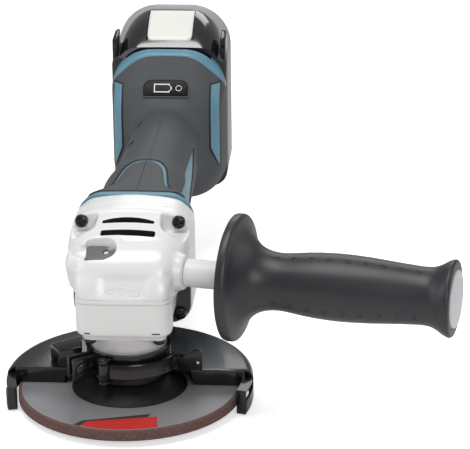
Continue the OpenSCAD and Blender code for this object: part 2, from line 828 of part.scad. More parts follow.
module tail_outline(wall = 0) {
    w = tail_w / 2 - wall;
    intersection() {
        translate([-reach / 2, 0, 0]) rotate([90, 0, 90]) linear_extrude(reach)
            offset(delta = -wall) polygon([[grip_rear - 2, grip_base], [grip_rear - 2, grip_top],
                [grip_rear, grip_top], [tail_front - 2, slope_top],
                [tail_front + 4.5, slope_top + 8.1], [tail_front + 8.5, tail_top],
                [tail_rear + wall, tail_top], [tail_rear + wall, tail_bottom],
                [tail_front + 6, tail_bottom], [grip_rear, grip_base]]);
        translate([0, reach, 0]) rotate([90, 0, 0]) linear_extrude(reach)
            offset(delta = -wall) polygon([[-18, tail_bottom], [18, tail_bottom],
                [tail_w / 2 - 3, 29], [tail_w / 2, 34], [tail_w / 2, tail_top - 22],
                [tail_w / 2 - 5.5, tail_top - 11], [tail_w / 2 - 13.5, tail_top - 4],
                [10, tail_top], [-10, tail_top], [-tail_w / 2 + 13.5, tail_top - 4],
                [-tail_w / 2 + 5.5, tail_top - 11], [-tail_w / 2, tail_top - 22],
                [-tail_w / 2, 34], [-tail_w / 2 + 3, 29]]);
        linear_extrude(reach) offset(delta = -wall) polygon([
            [-grip_w / 2, grip_rear - 2], [grip_w / 2, grip_rear - 2],
            [tail_w / 2, tail_front - 1], [tail_w / 2, tail_rear + wall],
            [-tail_w / 2, tail_rear + wall], [-tail_w / 2, tail_front - 1]]);
    }
}

module body_shell() {
    difference() {
        union() {
            difference() {
                union() {
                    slab(grip_sec, barrel_rear, grip_rear + 3);
                    tail_outline();
                }
                slab(grip_sec, barrel_rear - eps, grip_rear + 4, shell_t);
                tail_outline(shell_t);
            }
            // walls of the recess that the paddle moves in
            intersection() {
                union() {
                    slab(grip_sec, barrel_rear, grip_rear + 3);
                    tail_outline();
                }
                box(-recess_w - shell_t, recess_w + shell_t, barrel_rear, recess_rear + shell_t,
                    0, recess_top + 2);
            }
            // ears that carry the paddle's pin
            for (x = [-1, 1]) translate([x * (recess_w + shell_t / 2), paddle_y, paddle_z])
                rotate([0, 90, 0]) cylinder(h = shell_t, r = paddle_hub_r + 1, center = true);
        }
        // paddle recess, with holes for the plunger and the lock-off lever
        box(-recess_w, recess_w, recess_front, recess_rear, 0, recess_top);
        translate([0, plunger_y, recess_top - 1]) cylinder(h = 4, r = plunger_r + slide);
        box(-3.6, 3.6, lever_y - 5, lever_y + 10.5, recess_top - 1, recess_top + 3);
        translate([-reach / 2, paddle_y, paddle_z]) rotate([0, 90, 0])
            cylinder(h = reach, r = paddle_pin_r + fit);
        // pocket of the gauge panel
        on_panel() panel_outline(0.15, -2.2, 6);
        on_panel() box(-11, 11, -2, 2, -8, 0);
    }
}

// Channel that the battery's rails run in, open at the top and at the back
module rail_channel() {
    box(-rail_w - slide, rail_w + slide, rail_front - slide, rail_lip_y, rail_base - slide, reach);
    box(-rail_neck_w - slide, rail_neck_w + slide, rail_lip_y - 1, reach, rail_base - slide, reach);
}

// Frame on the sloping face of the tail: X across, Y up the slope, Z out of it
module on_panel() {
    translate([0, grip_rear, grip_top]) rotate([slope, 0, 0])
        translate([0, panel_at, 0]) children();
}

module panel_outline(gap, z0, z1) {
    translate([0, 0, z0]) linear_extrude(z1 - z0) offset(r = 2.5 + gap, $fn = 32)
        square([24, 6.4], center = true);
}

module half(side) {
    intersection() {
        union() children();
        if (side < 0) box(-100, 0, 0, reach, -50, 200);
        else box(0, 100, 0, reach, -50, 200);
    }
}

module boss_x(y, z) {
    translate([-30, y, z]) rotate([0, 90, 0]) cylinder(h = 60, r = 4);
}

module handle_half(side) {
    difference() {
        half(side) {
            body_shell();
            intersection() {
                union() {
                    slab(grip_sec, barrel_rear, grip_rear + 3, 0.5);
                    tail_outline(0.5);
                }
                union() {
                    for (p = handle_screw_at) boss_x(p[0], p[1]);
                    // ribs that hold the switch, the controller and the terminals
                    for (y = [switch_front - 1.6, switch_rear])
                        box(-30, 30, y, y + 1.6, recess_top + 1, switch_top);
                    for (y = [controller_front + 3, controller_rear - 5])
                        box(-30, 30, y, y + 2, controller_base - 3, controller_top + 1);
                    // block that the battery's rails run in
                    box(-60, 60, rail_front - 4.3, tail_rear, 0, 200);
                }
            }
        }
        for (p = handle_screw_at) {
            translate([7, p[0], p[1]]) rotate([0, -90, 0]) cylinder(h = 40, r = 1.7);
            translate([-12, p[0], p[1]]) rotate([0, -90, 0]) cylinder(h = 40, r = 3.4);
        }
        switch_body(0.1);
        controller_body(0.1);
        terminal_body(0.1);
        rail_channel();
        box(-12, 12, barrel_rear, switch_front + 2, motor_z + 15, motor_z + 20);
        for (x = lead_x) rod_y(lead_r + slide, barrel_rear - 1, controller_front, x, lead_z);
    }
}

module handle_left() { color([0.2, 0.21, 0.22]) handle_half(-1); }
module handle_right() { color([0.22, 0.23, 0.24]) handle_half(1); }

module handle_screws() {
    color("silver") for (p = handle_screw_at) {
        translate([-10, p[0], p[1]]) rotate([0, -90, 0]) difference() {
            union() {
                translate([0, 0, 2]) cylinder(h = 2.4, r = 3);
                translate([0, 0, -16]) cylinder(h = 18, r = 1.65);
            }
            for (turn = [0, 90]) rotate([0, 0, turn])
                translate([-1.9, -0.4, 3.2]) cube([3.8, 0.8, 3]);
        }
    }
}

module switch_body(gap = 0) {
    box(-9 - gap, 9 + gap, switch_front - gap, switch_rear + gap, switch_base - gap,
        switch_top + gap);
}

module switch_unit() {
    color([0.12, 0.12, 0.12]) difference() {
        switch_body();
        translate([0, plunger_y, switch_base - 1]) cylinder(h = 11, r = plunger_r + running);
    }
}

module switch_plunger() {
    color([0.7, 0.1, 0.08]) translate([0, plunger_y, plunger_base])
        cylinder(h = switch_base + 3 - plunger_base, r = plunger_r);
}

module controller_body(gap = 0) {
    box(-18 - gap, 18 + gap, controller_front - gap, controller_rear + gap,
        controller_base - gap, controller_top + gap);
}

module controller() {
    color([0.3, 0.32, 0.35]) difference() {
        controller_body();
        box(-15, 15, controller_front + 3, controller_rear - 3, controller_base + 6, 80);
    }
}

module terminal_body(gap = 0) {
    box(-16 - gap, 16 + gap, rail_front - 5.2 - gap, rail_front - 0.6 + gap, 52 - gap, 88 + gap);
}

module terminal_block() {
    color([0.85, 0.75, 0.2]) terminal_body();
}

module gauge_panel() {
    color([0.03, 0.03, 0.03]) on_panel() difference() {
        panel_outline(0, -2.2, 0.4);
        translate([8.4, 0, -3]) cylinder(h = 5, r = 2.6 + slide);
    }
}

module gauge_button() {
    color([0.1, 0.1, 0.1]) on_panel() translate([8.4, 0, -1.2]) cylinder(h = 2.2, r = 2.6);
}

// Paddle switch

module paddle() {
    len = paddle_y - paddle_front;
    color([0.16, 0.16, 0.17]) difference() {
        union() {
            translate([0, paddle_y, paddle_z]) rotate([paddle_travel, 0, 0]) {
                box(-paddle_w / 2, paddle_w / 2, -len, 0, -paddle_drop - paddle_t, -paddle_drop);
                box(-paddle_w / 2, paddle_w / 2, -len - 4, -len + 2, -paddle_drop - paddle_t - 2,
                    -paddle_drop);
                for (x = [-paddle_w / 2, paddle_w / 2 - paddle_wall])
                    box(x, x + paddle_wall, -len, -2.8, -paddle_drop - paddle_t + 0.5,
                        recess_top - paddle_z - 0.5);
            }
            // lugs that carry the lock-off lever
            translate([-6.4, lever_y, lever_z]) rotate([0, 90, 0]) cylinder(h = 12.8, r = 3);
            for (x = [-paddle_w / 2, paddle_w / 2 - paddle_wall])
                translate([x, paddle_y, paddle_z]) rotate([0, 90, 0])
                    cylinder(h = paddle_wall, r = paddle_hub_r);
        }
        translate([-20, paddle_y, paddle_z]) rotate([0, 90, 0])
            cylinder(h = 40, r = paddle_pin_r + running);
        box(-3.6, 3.6, slot_front, slot_rear, 10, lever_z + 6);
        translate([-8, lever_y, lever_z]) rotate([0, 90, 0]) cylinder(h = 16, r = 1.5 + running);
    }
}

module paddle_pin() {
    color("silver") translate([-recess_w - shell_t, paddle_y, paddle_z]) rotate([0, 90, 0])
        cylinder(h = 2 * (recess_w + shell_t), r = paddle_pin_r);
}

module paddle_spring() {
    color("gray") translate([-4.5, paddle_y, paddle_z]) rotate([0, 90, 0]) spring(3.1, 0.4, 9, 6);
}

module lock_off_lever() {
    color([0.2, 0.2, 0.21]) {
        translate([-2.9, lever_y, lever_z]) rotate([0, 90, 0]) cylinder(h = 3.6, r = 2.8);
        translate([-6, lever_y, lever_z]) rotate([0, 90, 0]) cylinder(h = 12, r = 1.5);
        translate([0, lever_y, lever_z]) rotate([8, 0, 0]) box(-2.9, 0.7, -9, 0, -5.6, -2.1);
        box(-2.9, 0.7, lever_y - 1.2, lever_y + 1.2, lever_z + 1, lever_z + lever_leg);
    }
}

module lock_off_spring() {
    color("gray") translate([1, lever_y, lever_z]) rotate([0, 90, 0]) spring(2.2, 0.3, 2.4, 3);
}

// Side handle

module side_handle_stud() {
    color("silver") on_handle_axis() translate([0, 0, handle_seat - handle_hole + 0.5])
        cylinder(h = handle_hole - 0.5 + collar_len + stud_in_grip, r = handle_thread_r - fit);
}

module side_handle_collar() {
    color([0.93, 0.93, 0.94]) on_handle_axis() difference() {
        translate([0, 0, handle_seat]) cylinder(h = collar_len, r = collar_or);
        translate([0, 0, handle_seat - eps]) cylinder(h = collar_len + 1, r = handle_thread_r + fit);
    }
}

module side_handle_grip() {
    end = grip_start + handle_len - cap_t;
    color([0.18, 0.19, 0.2]) difference() {
        spun_handle([[0, grip_start], [handle_flange_d / 2 - 6, grip_start],
            [handle_flange_d / 2, grip_start + 4], [handle_flange_d / 2 - 1.5, grip_start + 7],
            [handle_d / 2 + 4, grip_start + 13], [handle_d / 2 - 3, grip_start + 23],
            [handle_d / 2 - 3, grip_start + 30], [handle_d / 2 - 0.8, grip_start + 42],
            [handle_d / 2, grip_start + 58], [handle_d / 2 - 1, grip_start + 80],
            [handle_d / 2 - 2.5, end - 14], [handle_d / 2 + 2.4, end - 4],
            [handle_d / 2 + 3, end], [0, end]]);
        on_handle_axis() translate([0, 0, grip_start - eps])
            cylinder(h = stud_in_grip + fit, r = handle_thread_r + fit);
    }
}

module side_handle_cap() {
    end = grip_start + handle_len - cap_t;
    color([0.75, 0.76, 0.77]) spun_handle([[0, end], [handle_d / 2 + 2.6, end],
        [handle_d / 2 + 1, end + 2.6], [handle_d / 2 - 5, end + cap_t], [0, end + cap_t]]);
}

// Battery

module battery_outline(wall = 0) {
    intersection() {
        translate([-reach / 2, 0, 0]) rotate([90, 0, 90]) linear_extrude(reach)
            offset(delta = -wall) polygon([[battery_front, battery_foot],
                [battery_rear, battery_foot], [battery_rear, battery_top - 3],
                [battery_rear - 3, battery_top], [battery_rear - 10, battery_top],
                [battery_rear - 30, battery_top - 6], [battery_front, tail_top + 2]]);
        translate([0, reach, 0]) rotate([90, 0, 0]) linear_extrude(reach)
            offset(delta = -wall) polygon([[-tail_w / 2 + 4, battery_foot],
                [tail_w / 2 - 4, battery_foot], [tail_w / 2, battery_foot + 4],
                [tail_w / 2, battery_top - 10], [tail_w / 2 - 10, battery_top - 4],
                [tail_w / 2 - 14, battery_top], [-tail_w / 2 + 14, battery_top],
                [-tail_w / 2 + 10, battery_top - 4], [-tail_w / 2, battery_top - 10],
                [-tail_w / 2, battery_foot + 4]]);
    }
}

module button_space(gap) {
    box(-button_w / 2 - gap, button_w / 2 + gap, button_y0 - gap, button_y1 + gap, button_floor, reach);
}

module battery_front_case() {
    color([0.06, 0.06, 0.07]) difference() {
        union() {
            intersection() {
                battery_outline();
                box(-60, 60, battery_front, case_split, 0, 200);
            }
            box(-rail_w, rail_w, rail_front, rail_lip_y - slide, rail_base, rail_top);
            box(-rail_neck_w, rail_neck_w, rail_lip_y - slide - eps, battery_front + 1,
                rail_base, rail_top);
        }
        intersection() {
            battery_outline(case_t);
            box(-60, 60, battery_front + case_t, case_split + 1, 0, cells_top);
        }
        // slots for the terminals
        for (x = [-10, 0, 10]) box(x - 1.2, x + 1.2, rail_front - 1, rail_front + 5, 50, 90);
        button_space(slide);
    }
}

module battery_rear_case() {
    color([0.62, 0.63, 0.65]) difference() {
        intersection() {
            battery_outline();
            box(-60, 60, case_split, battery_rear + 1, 0, 200);
        }
        intersection() {
            battery_outline(case_t);
            box(-60, 60, case_split - 1, battery_rear - case_t, 0, cells_top);
        }
        button_space(slide);
    }
}

module battery_cells() {
    color([0.1, 0.35, 0.6]) for (i = [0:cell_rows - 1], row = [0, 1])
        translate([-cell_len / 2, battery_rear - case_t - 0.3 - cell_r - row * (2 * cell_r + 0.4),
            battery_foot + case_t + 0.3 + cell_r + i * cell_pitch])
            rotate([0, 90, 0]) cylinder(h = cell_len, r = cell_r);
}

module battery_button() {
    color([0.9, 0.9, 0.86]) intersection() {
        battery_outline();
        box(-button_w / 2, button_w / 2, button_y0, button_y1, button_base, 200);
    }
}

module battery_button_spring() {
    color("gray") translate([0, button_y1 - 7, button_floor])
        spring(4, 0.4, button_base - button_floor, 2);
}

gear_housing();
gear_housing_screws();
bearing_box();
bearing_box_screws();
bearing_retainer();
spindle_bearing();
spindle_top_bearing();
spindle();
bevel_gear();
gear_circlip();
inner_flange();
grinding_wheel();
lock_nut();
lock_button();
lock_pin();
lock_spring();
wheel_guard();
guard_collar();
clamp_screw();
clamp_nut();
lever_pin();
clamp_lever();
pinion();
pinion_nut();
rotor_shaft();
rotor_core();
rotor_magnets();
cooling_fan();
motor_front_bearing();
motor_rear_bearing();
bearing_cushion();
air_baffle();
stator_core();
stator_windings();
motor_leads();
motor_housing();
handle_left();
handle_right();
handle_screws();
controller();
terminal_block();
switch_unit();
switch_plunger();
paddle();
paddle_pin();
paddle_spring();
lock_off_lever();
lock_off_spring();
gauge_panel();
gauge_button();
side_handle_stud();
side_handle_collar();
side_handle_grip();
side_handle_cap();
battery_front_case();
battery_rear_case();
battery_cells();
battery_button();
battery_button_spring();
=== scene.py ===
import math
from math import cos, hypot, radians, sin, sqrt, tau

import bmesh
import bpy
from mathutils import Matrix, Vector


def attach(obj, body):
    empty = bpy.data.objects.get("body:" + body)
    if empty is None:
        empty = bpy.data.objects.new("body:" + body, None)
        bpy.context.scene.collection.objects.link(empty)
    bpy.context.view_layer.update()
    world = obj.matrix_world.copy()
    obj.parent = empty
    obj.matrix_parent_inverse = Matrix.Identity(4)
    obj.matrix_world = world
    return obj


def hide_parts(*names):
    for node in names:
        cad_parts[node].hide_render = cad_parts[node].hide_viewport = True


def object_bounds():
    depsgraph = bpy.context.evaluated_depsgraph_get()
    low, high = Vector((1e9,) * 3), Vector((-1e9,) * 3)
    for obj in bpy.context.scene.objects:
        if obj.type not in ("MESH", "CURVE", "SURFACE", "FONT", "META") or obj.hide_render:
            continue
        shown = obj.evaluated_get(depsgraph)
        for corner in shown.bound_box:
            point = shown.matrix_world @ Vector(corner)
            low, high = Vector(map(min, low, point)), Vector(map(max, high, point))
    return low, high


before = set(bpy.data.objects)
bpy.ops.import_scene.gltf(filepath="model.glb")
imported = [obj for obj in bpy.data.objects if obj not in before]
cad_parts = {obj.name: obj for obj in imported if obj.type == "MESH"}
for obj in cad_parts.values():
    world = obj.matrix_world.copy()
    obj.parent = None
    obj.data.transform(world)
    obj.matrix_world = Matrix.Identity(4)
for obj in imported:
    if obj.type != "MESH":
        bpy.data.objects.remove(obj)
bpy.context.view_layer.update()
mm = 0.001
ops = bmesh.ops
leftRight = ((-1, "left"), (1, "right"))

# helpers: shapes are made in millimetres and scaled when they become pieces


def setInputs(node, values):
    # each input takes a value, or another node with the name of its output
    for name, value in values.items():
        if isinstance(value, tuple) and isinstance(value[0], bpy.types.Node):
            node.id_data.links.new(value[0].outputs[value[1]], node.inputs[name])
        else:
            node.inputs[name].default_value = value
    return node


def addNode(tree, kind, **values):
    return setInputs(tree.nodes.new("ShaderNode" + kind), values)


def addBump(tree, shader, strength, distance, height):
    bump = addNode(tree, "Bump", Strength=strength, Distance=distance, Height=height)
    setInputs(shader, {"Normal": (bump, "Normal")})


def newMaterial(name, colour, roughness=0.5, metallic=0, coat=0, grain=0, grainScale=900,
        mottle=0.06, mottleScale=45, specular=0.5, streak=(1, 1, 1)):
    material = bpy.data.materials.new(name)
    material.use_nodes = True
    tree = material.node_tree
    place = addNode(tree, "TexCoord")
    stretch = addNode(tree, "Mapping", Vector=(place, "Object"), Scale=streak)
    cloud = addNode(tree, "TexNoise", Scale=mottleScale, Detail=5, Vector=(stretch, "Vector"))
    tint = addNode(tree, "Mix")
    tint.data_type = "RGBA"
    setInputs(tint, {"A": (*[c * (1 - mottle) for c in colour], 1),
        "B": (*[min(1, c * (1 + mottle)) for c in colour], 1), "Factor": (cloud, "Fac")})
    shine = setInputs(addNode(tree, "MapRange", Value=(cloud, "Fac")),
        {"To Min": max(0.02, roughness - 0.05), "To Max": min(1, roughness + 0.05)})
    shader = setInputs(tree.nodes["Principled BSDF"], {"Metallic": metallic, "Specular IOR Level": specular,
        "Coat Weight": coat, "Coat Roughness": 0.08, "Base Color": (tint, "Result"),
        "Roughness": (shine, "Result")})
    if grain:
        fine = addNode(tree, "TexNoise", Scale=grainScale, Detail=3, Vector=(stretch, "Vector"))
        addBump(tree, shader, grain, 0.0003, (fine, "Fac"))
    return material


def linked(name, data):
    held = bpy.data.objects.new(name, data)
    bpy.context.scene.collection.objects.link(held)
    return held


def cleaned(bm):
    ops.remove_doubles(bm, verts=bm.verts, dist=0.003)
    ops.recalc_face_normals(bm, faces=bm.faces)
    return bm


def addPiece(name, bm, material, body="tool", sharp=32, stands=""):
    # stands holds the names of the CAD nodes that the piece is shown for
    ops.scale(cleaned(bm), vec=(mm, mm, mm), verts=bm.verts)
    mesh = bpy.data.meshes.new(name)
    bm.to_mesh(mesh)
    bm.free()
    piece = linked(name, mesh)
    coats = material if isinstance(material, list) else [material]
    for coat in coats:
        mesh.materials.append(coat)
    mesh.shade_smooth()
    mesh.set_sharp_from_angle(angle=radians(sharp))
    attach(piece, body)
    if stands:
        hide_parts(*stands.split())
    return piece


def tempObject(bm):
    mesh = bpy.data.meshes.new("temp")
    cleaned(bm).to_mesh(mesh)
    bm.free()
    return linked("temp", mesh)


def withModifier(bm, kind, **settings):
    # runs one modifier on a bmesh and gives back a new bmesh
    held = tempObject(bm)
    change = held.modifiers.new("change", kind)
    for key, value in settings.items():
        setattr(change, key, value)
    graph = bpy.context.evaluated_depsgraph_get()
    graph.update()
    done = bmesh.new()
    done.from_mesh(held.evaluated_get(graph).to_mesh())
    bpy.data.objects.remove(held)
    return done


def cut(bm, *cutters, operation="DIFFERENCE"):
    for cutter in cutters:
        held = tempObject(cutter)
        bm = withModifier(bm, "BOOLEAN", operation=operation, solver="EXACT", object=held)
        bpy.data.objects.remove(held)
    return bm


def softened(bm, voxel, times):
    bm = withModifier(bm, "REMESH", mode="VOXEL", voxel_size=voxel, use_smooth_shade=True)
    for step in range(times):
        ops.smooth_vert(bm, verts=bm.verts, factor=0.5, use_axis_x=True, use_axis_y=True, use_axis_z=True)
    return bm


def bevelled(bm, width=0.5, segments=2, angle=30):
    sharp = [e for e in cleaned(bm).edges if len(e.link_faces) == 2 and e.calc_face_angle(0) > radians(angle)]
    ops.bevel(bm, geom=sharp, offset=width, offset_type="OFFSET", affect="EDGES", segments=segments,
        profile=0.5, material=-1, clamp_overlap=True)
    return bm


def joined(*meshes):
    whole = meshes[0]
    for part in meshes[1:]:
        held = bpy.data.meshes.new("held")
        part.to_mesh(held)
        part.free()
        whole.from_mesh(held)
        bpy.data.meshes.remove(held)
    return whole


def moved(bm, matrix):
    ops.transform(bm, matrix=matrix, verts=bm.verts)
    return bm


def shift(x, y, z):
    return Matrix.Translation((x, y, z))


def turned(degrees, axis="Z"):
    return Matrix.Rotation(radians(degrees), 4, axis)


def facing(direction):
    return Vector(direction).to_track_quat("Z", "Y").to_matrix().to_4x4()


def block(x0, x1, y0, y1, z0, z1):
    bm = bmesh.new()
    ops.create_cube(bm, size=1)
    ops.scale(bm, vec=(x1 - x0, y1 - y0, z1 - z0), verts=bm.verts)
    return moved(bm, shift((x0 + x1) / 2, (y0 + y1) / 2, (z0 + z1) / 2))


def rod(start, end, r, r2=None, sides=48):
    bm = bmesh.new()
    start, end = Vector(start), Vector(end)
    ops.create_cone(bm, cap_ends=True, segments=sides, radius1=r, radius2=r2 or r, depth=(end - start).length)
    return moved(bm, shift(*(start + end) / 2) @ facing(end - start))


def ball(centre, size):
    bm = bmesh.new()
    ops.create_icosphere(bm, subdivisions=4, radius=1)
    ops.scale(bm, vec=size, verts=bm.verts)
    return moved(bm, shift(*centre))


def vertsIn(geometry):
    return [g for g in geometry if isinstance(g, bmesh.types.BMVert)]


def spun(outline, steps=96, closed=False, start=0, sweep=360):
    # turns an outline of (radius, height) pairs about Z
    bm = bmesh.new()
    points = [bm.verts.new((r * cos(radians(start)), r * sin(radians(start)), h)) for r, h in outline]
    ends = points[1:] + points[:1] if closed else points[1:]
    edges = [bm.edges.new(pair) for pair in zip(points, ends)]
    ops.spin(bm, geom=points + edges, cent=(0, 0, 0), axis=(0, 0, 1), angle=radians(sweep), steps=steps,
        use_merge=sweep == 360)
    ops.remove_doubles(bm, verts=bm.verts, dist=0.003)
    if sweep != 360 and closed:
        ops.holes_fill(bm, edges=bm.edges, sides=0)
    return bm


def smoothPath(points, steps=6):
    # passes a curve through a list of tuples
    out = []
    for i in range(len(points) - 1):
        around = points[max(i - 1, 0)], points[i], points[i + 1], points[min(i + 2, len(points) - 1)]
        for k in range(steps):
            t = k / steps
            out.append(tuple(0.5 * (2 * q + (r - p) * t + (2 * p - 5 * q + 4 * r - s) * t * t
                + (3 * q - p - 3 * r + s) * t ** 3) for p, q, r, s in zip(*around)))
    return out + [tuple(points[-1])]


def loft(count, rings, caps=True):
    # rings are functions from an angle to a point; each is grown from the one before
    bm = bmesh.new()
    turn = bm.verts.layers.float.new("turn")
    for v in ops.create_circle(bm, cap_ends=False, segments=count, radius=1)["verts"]:
        v[turn] = math.atan2(v.co.y, v.co.x) % tau
        v.co = rings[0](v[turn])
    edges = bm.edges[:]
    if caps:
        ops.edgeloop_fill(bm, edges=edges)
    for ring in rings[1:]:
        grown = ops.extrude_edge_only(bm, edges=edges)["geom"]
        new = set(vertsIn(grown))
        for v in new:
            v.co = ring(v[turn])
        edges = [e for e in grown if isinstance(e, bmesh.types.BMEdge) and new.issuperset(e.verts)]
    if caps:
        ops.edgeloop_fill(bm, edges=edges)
    return bm


def stack(count, ring, rows):
    # a loft through one kind of ring, with each row's settings after the angle
    return loft(count, [lambda a, row=row: ring(a, *row) for row in rows])


def roundRect(a, half, low, high, topR, lowR, crown=0):
    # where a ray from the middle at angle a meets a rounded rectangle
    c, s = cos(a), sin(a)
    mid, h = (low + high) / 2, (high - low) / 2
    r = min(topR if s > 0 else lowR, half - 0.01, h - 0.01)
    t = min(half / max(abs(c), 1e-9), h / max(abs(s), 1e-9))
    x, z = c * t, s * t
    cx, cz = half - r, h - r
    if abs(x) > cx and abs(z) > cz:
        b = abs(c) * cx + abs(s) * cz
        t = b + sqrt(max(0, b * b - (cx * cx + cz * cz - r * r)))
        x, z = c * t, s * t
    if s > 0:
        z -= crown * (x / half) ** 2 * min(1, s * 2)
    return x, mid + z


def rectAcross(a, y, *shape):
    x, z = roundRect(a, *shape)
    return Vector((x, y, z))


def rectLevel(a, z, *shape):
    return Vector((*roundRect(a, *shape), z))


def blendTable(table, y):
    # reads between the rows of a table whose rows start with the place along the body
    if y <= table[0][0]:
        return table[0][1:]
    for low, high in zip(table, table[1:]):
        if y <= high[0]:
            t = (y - low[0]) / (high[0] - low[0])
            return [p + (q - p) * t for p, q in zip(low[1:], high[1:])]
    return table[-1][1:]


def ease(t):
    t = max(0, min(1, t))
    return t * t * (3 - 2 * t)


def doubleSheet(across, along):
    # two grids joined round their rims; gives the mesh and the upper grid's vertices
    bm = bmesh.new()
    ops.create_grid(bm, x_segments=across, y_segments=along, size=0.5)
    return bm, set(vertsIn(ops.extrude_face_region(bm, geom=bm.faces[:])["geom"]))


def bead(path, r, onto, sides, sink, closed=False, flat=1):
    # a thin raised line that follows a surface
    points, normals, rings = [], [], []
    for p in path:
        found, spot, normal, index = onto.closest_point_on_mesh(Vector(p) * mm)
        points.append(spot / mm - normal * sink)
        normals.append(normal)
    last = len(points) - 1
    for i, p in enumerate(points):
        before = points[i - 1] if i or closed else p
        after = points[(i + 1) % len(points)] if i < last or closed else p
        along = (after - before).normalized()
        up = (normals[i] - along * normals[i].dot(along)).normalized()
        side = along.cross(up)
        rings.append(lambda a, p=p, side=side, up=up: p + side * (r * cos(a)) + up * (r * flat * sin(a)))
    if closed:
        rings.append(rings[0])
    return loft(sides, rings, caps=not closed)


def screwHead(centre, toward, r, height, washer=0):
    # pan head with a cross recess, standing on centre and facing toward
    outline = [(0, height), (r * 0.55, height), (r * 0.86, height * 0.82), (r, height * 0.45)]
    outline += [(r, 0.9), (washer, 0.9), (washer, 0), (0, 0)] if washer else [(r, 0), (0, 0)]
    bm = spun(outline, 40)
    for angle in (0.3, 0.3 + math.pi / 2):
        slot = block(-r * 0.62, r * 0.62, -0.55, 0.55, -1.2, 3)
        bm = cut(bm, moved(slot, shift(0, 0, height) @ Matrix.Rotation(angle, 4, "Z")))
    return moved(bm, Matrix.Translation(centre) @ facing(toward))


def flatShape(points, low, high):
    bm = bmesh.new()
    corners = [bm.verts.new((x, y, low)) for x, y in points]
    sides = [bm.edges.new(pair) for pair in zip(corners, corners[1:] + corners[:1])]
    face = ops.edgeloop_fill(bm, edges=sides)["faces"]
    grown = ops.extrude_face_region(bm, geom=face)["geom"]
    ops.translate(bm, vec=(0, 0, high - low), verts=vertsIn(grown))
    return bm


def polar(r, degrees, z=0):
    return Vector((r * cos(radians(degrees)), r * sin(radians(degrees)), z))


def arcPoints(cx, cy, r, start, end, steps=8):
    turns = [polar(r, start + (end - start) * i / steps) for i in range(steps + 1)]
    return [(cx + p.x, cy + p.y) for p in turns]


def bothSides(points):
    # carries one half of an outline over to the other side of the middle
    return points + [(-x, *rest) for x, *rest in points[::-1] if x]

# finishes

paint = newMaterial("silverWhitePaint", (0.77, 0.775, 0.765), roughness=0.3, coat=0.3,
    grain=0.04, grainScale=700, mottle=0.015)
# near-black casting colour: painted shade inside the pockets round the lower head screws
castPaintedShade = newMaterial("castingPaintedShade", (0.055, 0.055, 0.058), grain=0.1, mottle=0.1)
castNeck = newMaterial("bareCasting", (0.66, 0.66, 0.67), roughness=0.34, metallic=0.2,
    grain=0.12, grainScale=500, mottle=0.08, mottleScale=90)
blackPaint = newMaterial("blackEnamel", (0.008, 0.0085, 0.0105), roughness=0.2, coat=0.2,
    specular=0.4, grain=0.05, grainScale=350, mottle=0.2)
rubber = newMaterial("darkOvermould", (0.066, 0.07, 0.075), roughness=0.6, grain=0.3,
    grainScale=1500, mottle=0.07, specular=0.35)
rubberGrip = newMaterial("handleRubber", (0.021, 0.022, 0.025), roughness=0.4, grain=0.22,
    grainScale=1500, mottle=0.08)
blue = newMaterial("tealPlastic", (0.105, 0.245, 0.33), roughness=0.4, grain=0.1,
    grainScale=1300, mottle=0.03)
# near-black: the real dark joints round the overmould, tail band and flashes, and painted shade inside the
# vents and slits
sealAndPaintedShade = newMaterial("blackSealAndPaintedShade", (0.008, 0.008, 0.009), grain=0.1, mottle=0.1)
glossBlack = newMaterial("glossBlackPlastic", (0.006, 0.006, 0.007), roughness=0.1, coat=0.2,
    specular=0.35, grain=0.02, mottle=0.1)
hoodBlack = newMaterial("hoodBlack", (0.008, 0.008, 0.01), roughness=0.16, coat=0.8,
    specular=0.9, grain=0.02, mottle=0.1)
panelBlack = newMaterial("panelBlack", (0.006, 0.006, 0.007), roughness=0.3, specular=0.12,
    grain=0.02, mottle=0.1)
satinBlack = newMaterial("satinBlackPlastic", (0.018, 0.018, 0.02), roughness=0.38,
    grain=0.12, grainScale=1300, mottle=0.1)
greyShell = newMaterial("batteryGrey", (0.34, 0.34, 0.36), roughness=0.45, grain=0.15,
    grainScale=1200, mottle=0.03)
offWhite = newMaterial("ivoryPlastic", (0.78, 0.78, 0.74), roughness=0.42, grain=0.06,
    mottle=0.01)
whitePlastic = newMaterial("whitePlastic", (0.76, 0.76, 0.78), roughness=0.4, grain=0.06,
    mottle=0.01)
capGrey = newMaterial("paleCap", (0.6, 0.61, 0.63), roughness=0.4, grain=0.06, mottle=0.02)
buttonGrey = newMaterial("lockButtonGrey", (0.13, 0.133, 0.138), grain=0.2, grainScale=1300)
screwBlack = newMaterial("blackenedScrew", (0.012, 0.012, 0.013), roughness=0.28, metallic=0.4,
    coat=0.2, grain=0.1, mottle=0.3, mottleScale=300)
steel = newMaterial("turnedSteel", (0.55, 0.55, 0.56), roughness=0.26, metallic=1, grain=0.12,
    grainScale=600, streak=(1, 1, 12))
darkSteel = newMaterial("blackOxide", (0.035, 0.035, 0.037), roughness=0.34, metallic=0.8,
    grain=0.15, grainScale=500, mottle=0.25, mottleScale=120)
lineWhite = newMaterial("whiteMarking", (0.72, 0.72, 0.73), mottle=0.02)
redInk = newMaterial("redInk", (0.52, 0.022, 0.016), grain=0.2, grainScale=1800, mottle=0.15)
darkInk = newMaterial("darkInk", (0.028, 0.022, 0.022), roughness=0.6, grain=0.2, grainScale=1800,
    mottle=0.2)
copper = newMaterial("copperWinding", (0.6, 0.28, 0.13), roughness=0.35, metallic=1, grain=0.5,
    mottle=0.15, streak=(1, 0.1, 1))
lamination = newMaterial("stackedSteel", (0.16, 0.16, 0.17), roughness=0.45, metallic=0.9, grain=0.5,
    grainScale=1600, mottle=0.12, streak=(0.05, 1, 0.05))
wireRed = newMaterial("wireSleeve", (0.32, 0.05, 0.03), grain=0.1)
cellWrap = newMaterial("cellWrap", (0.03, 0.12, 0.28), roughness=0.3, coat=0.2, mottle=0.05)
brass = newMaterial("terminalYellow", (0.55, 0.42, 0.08), roughness=0.45, grain=0.1)
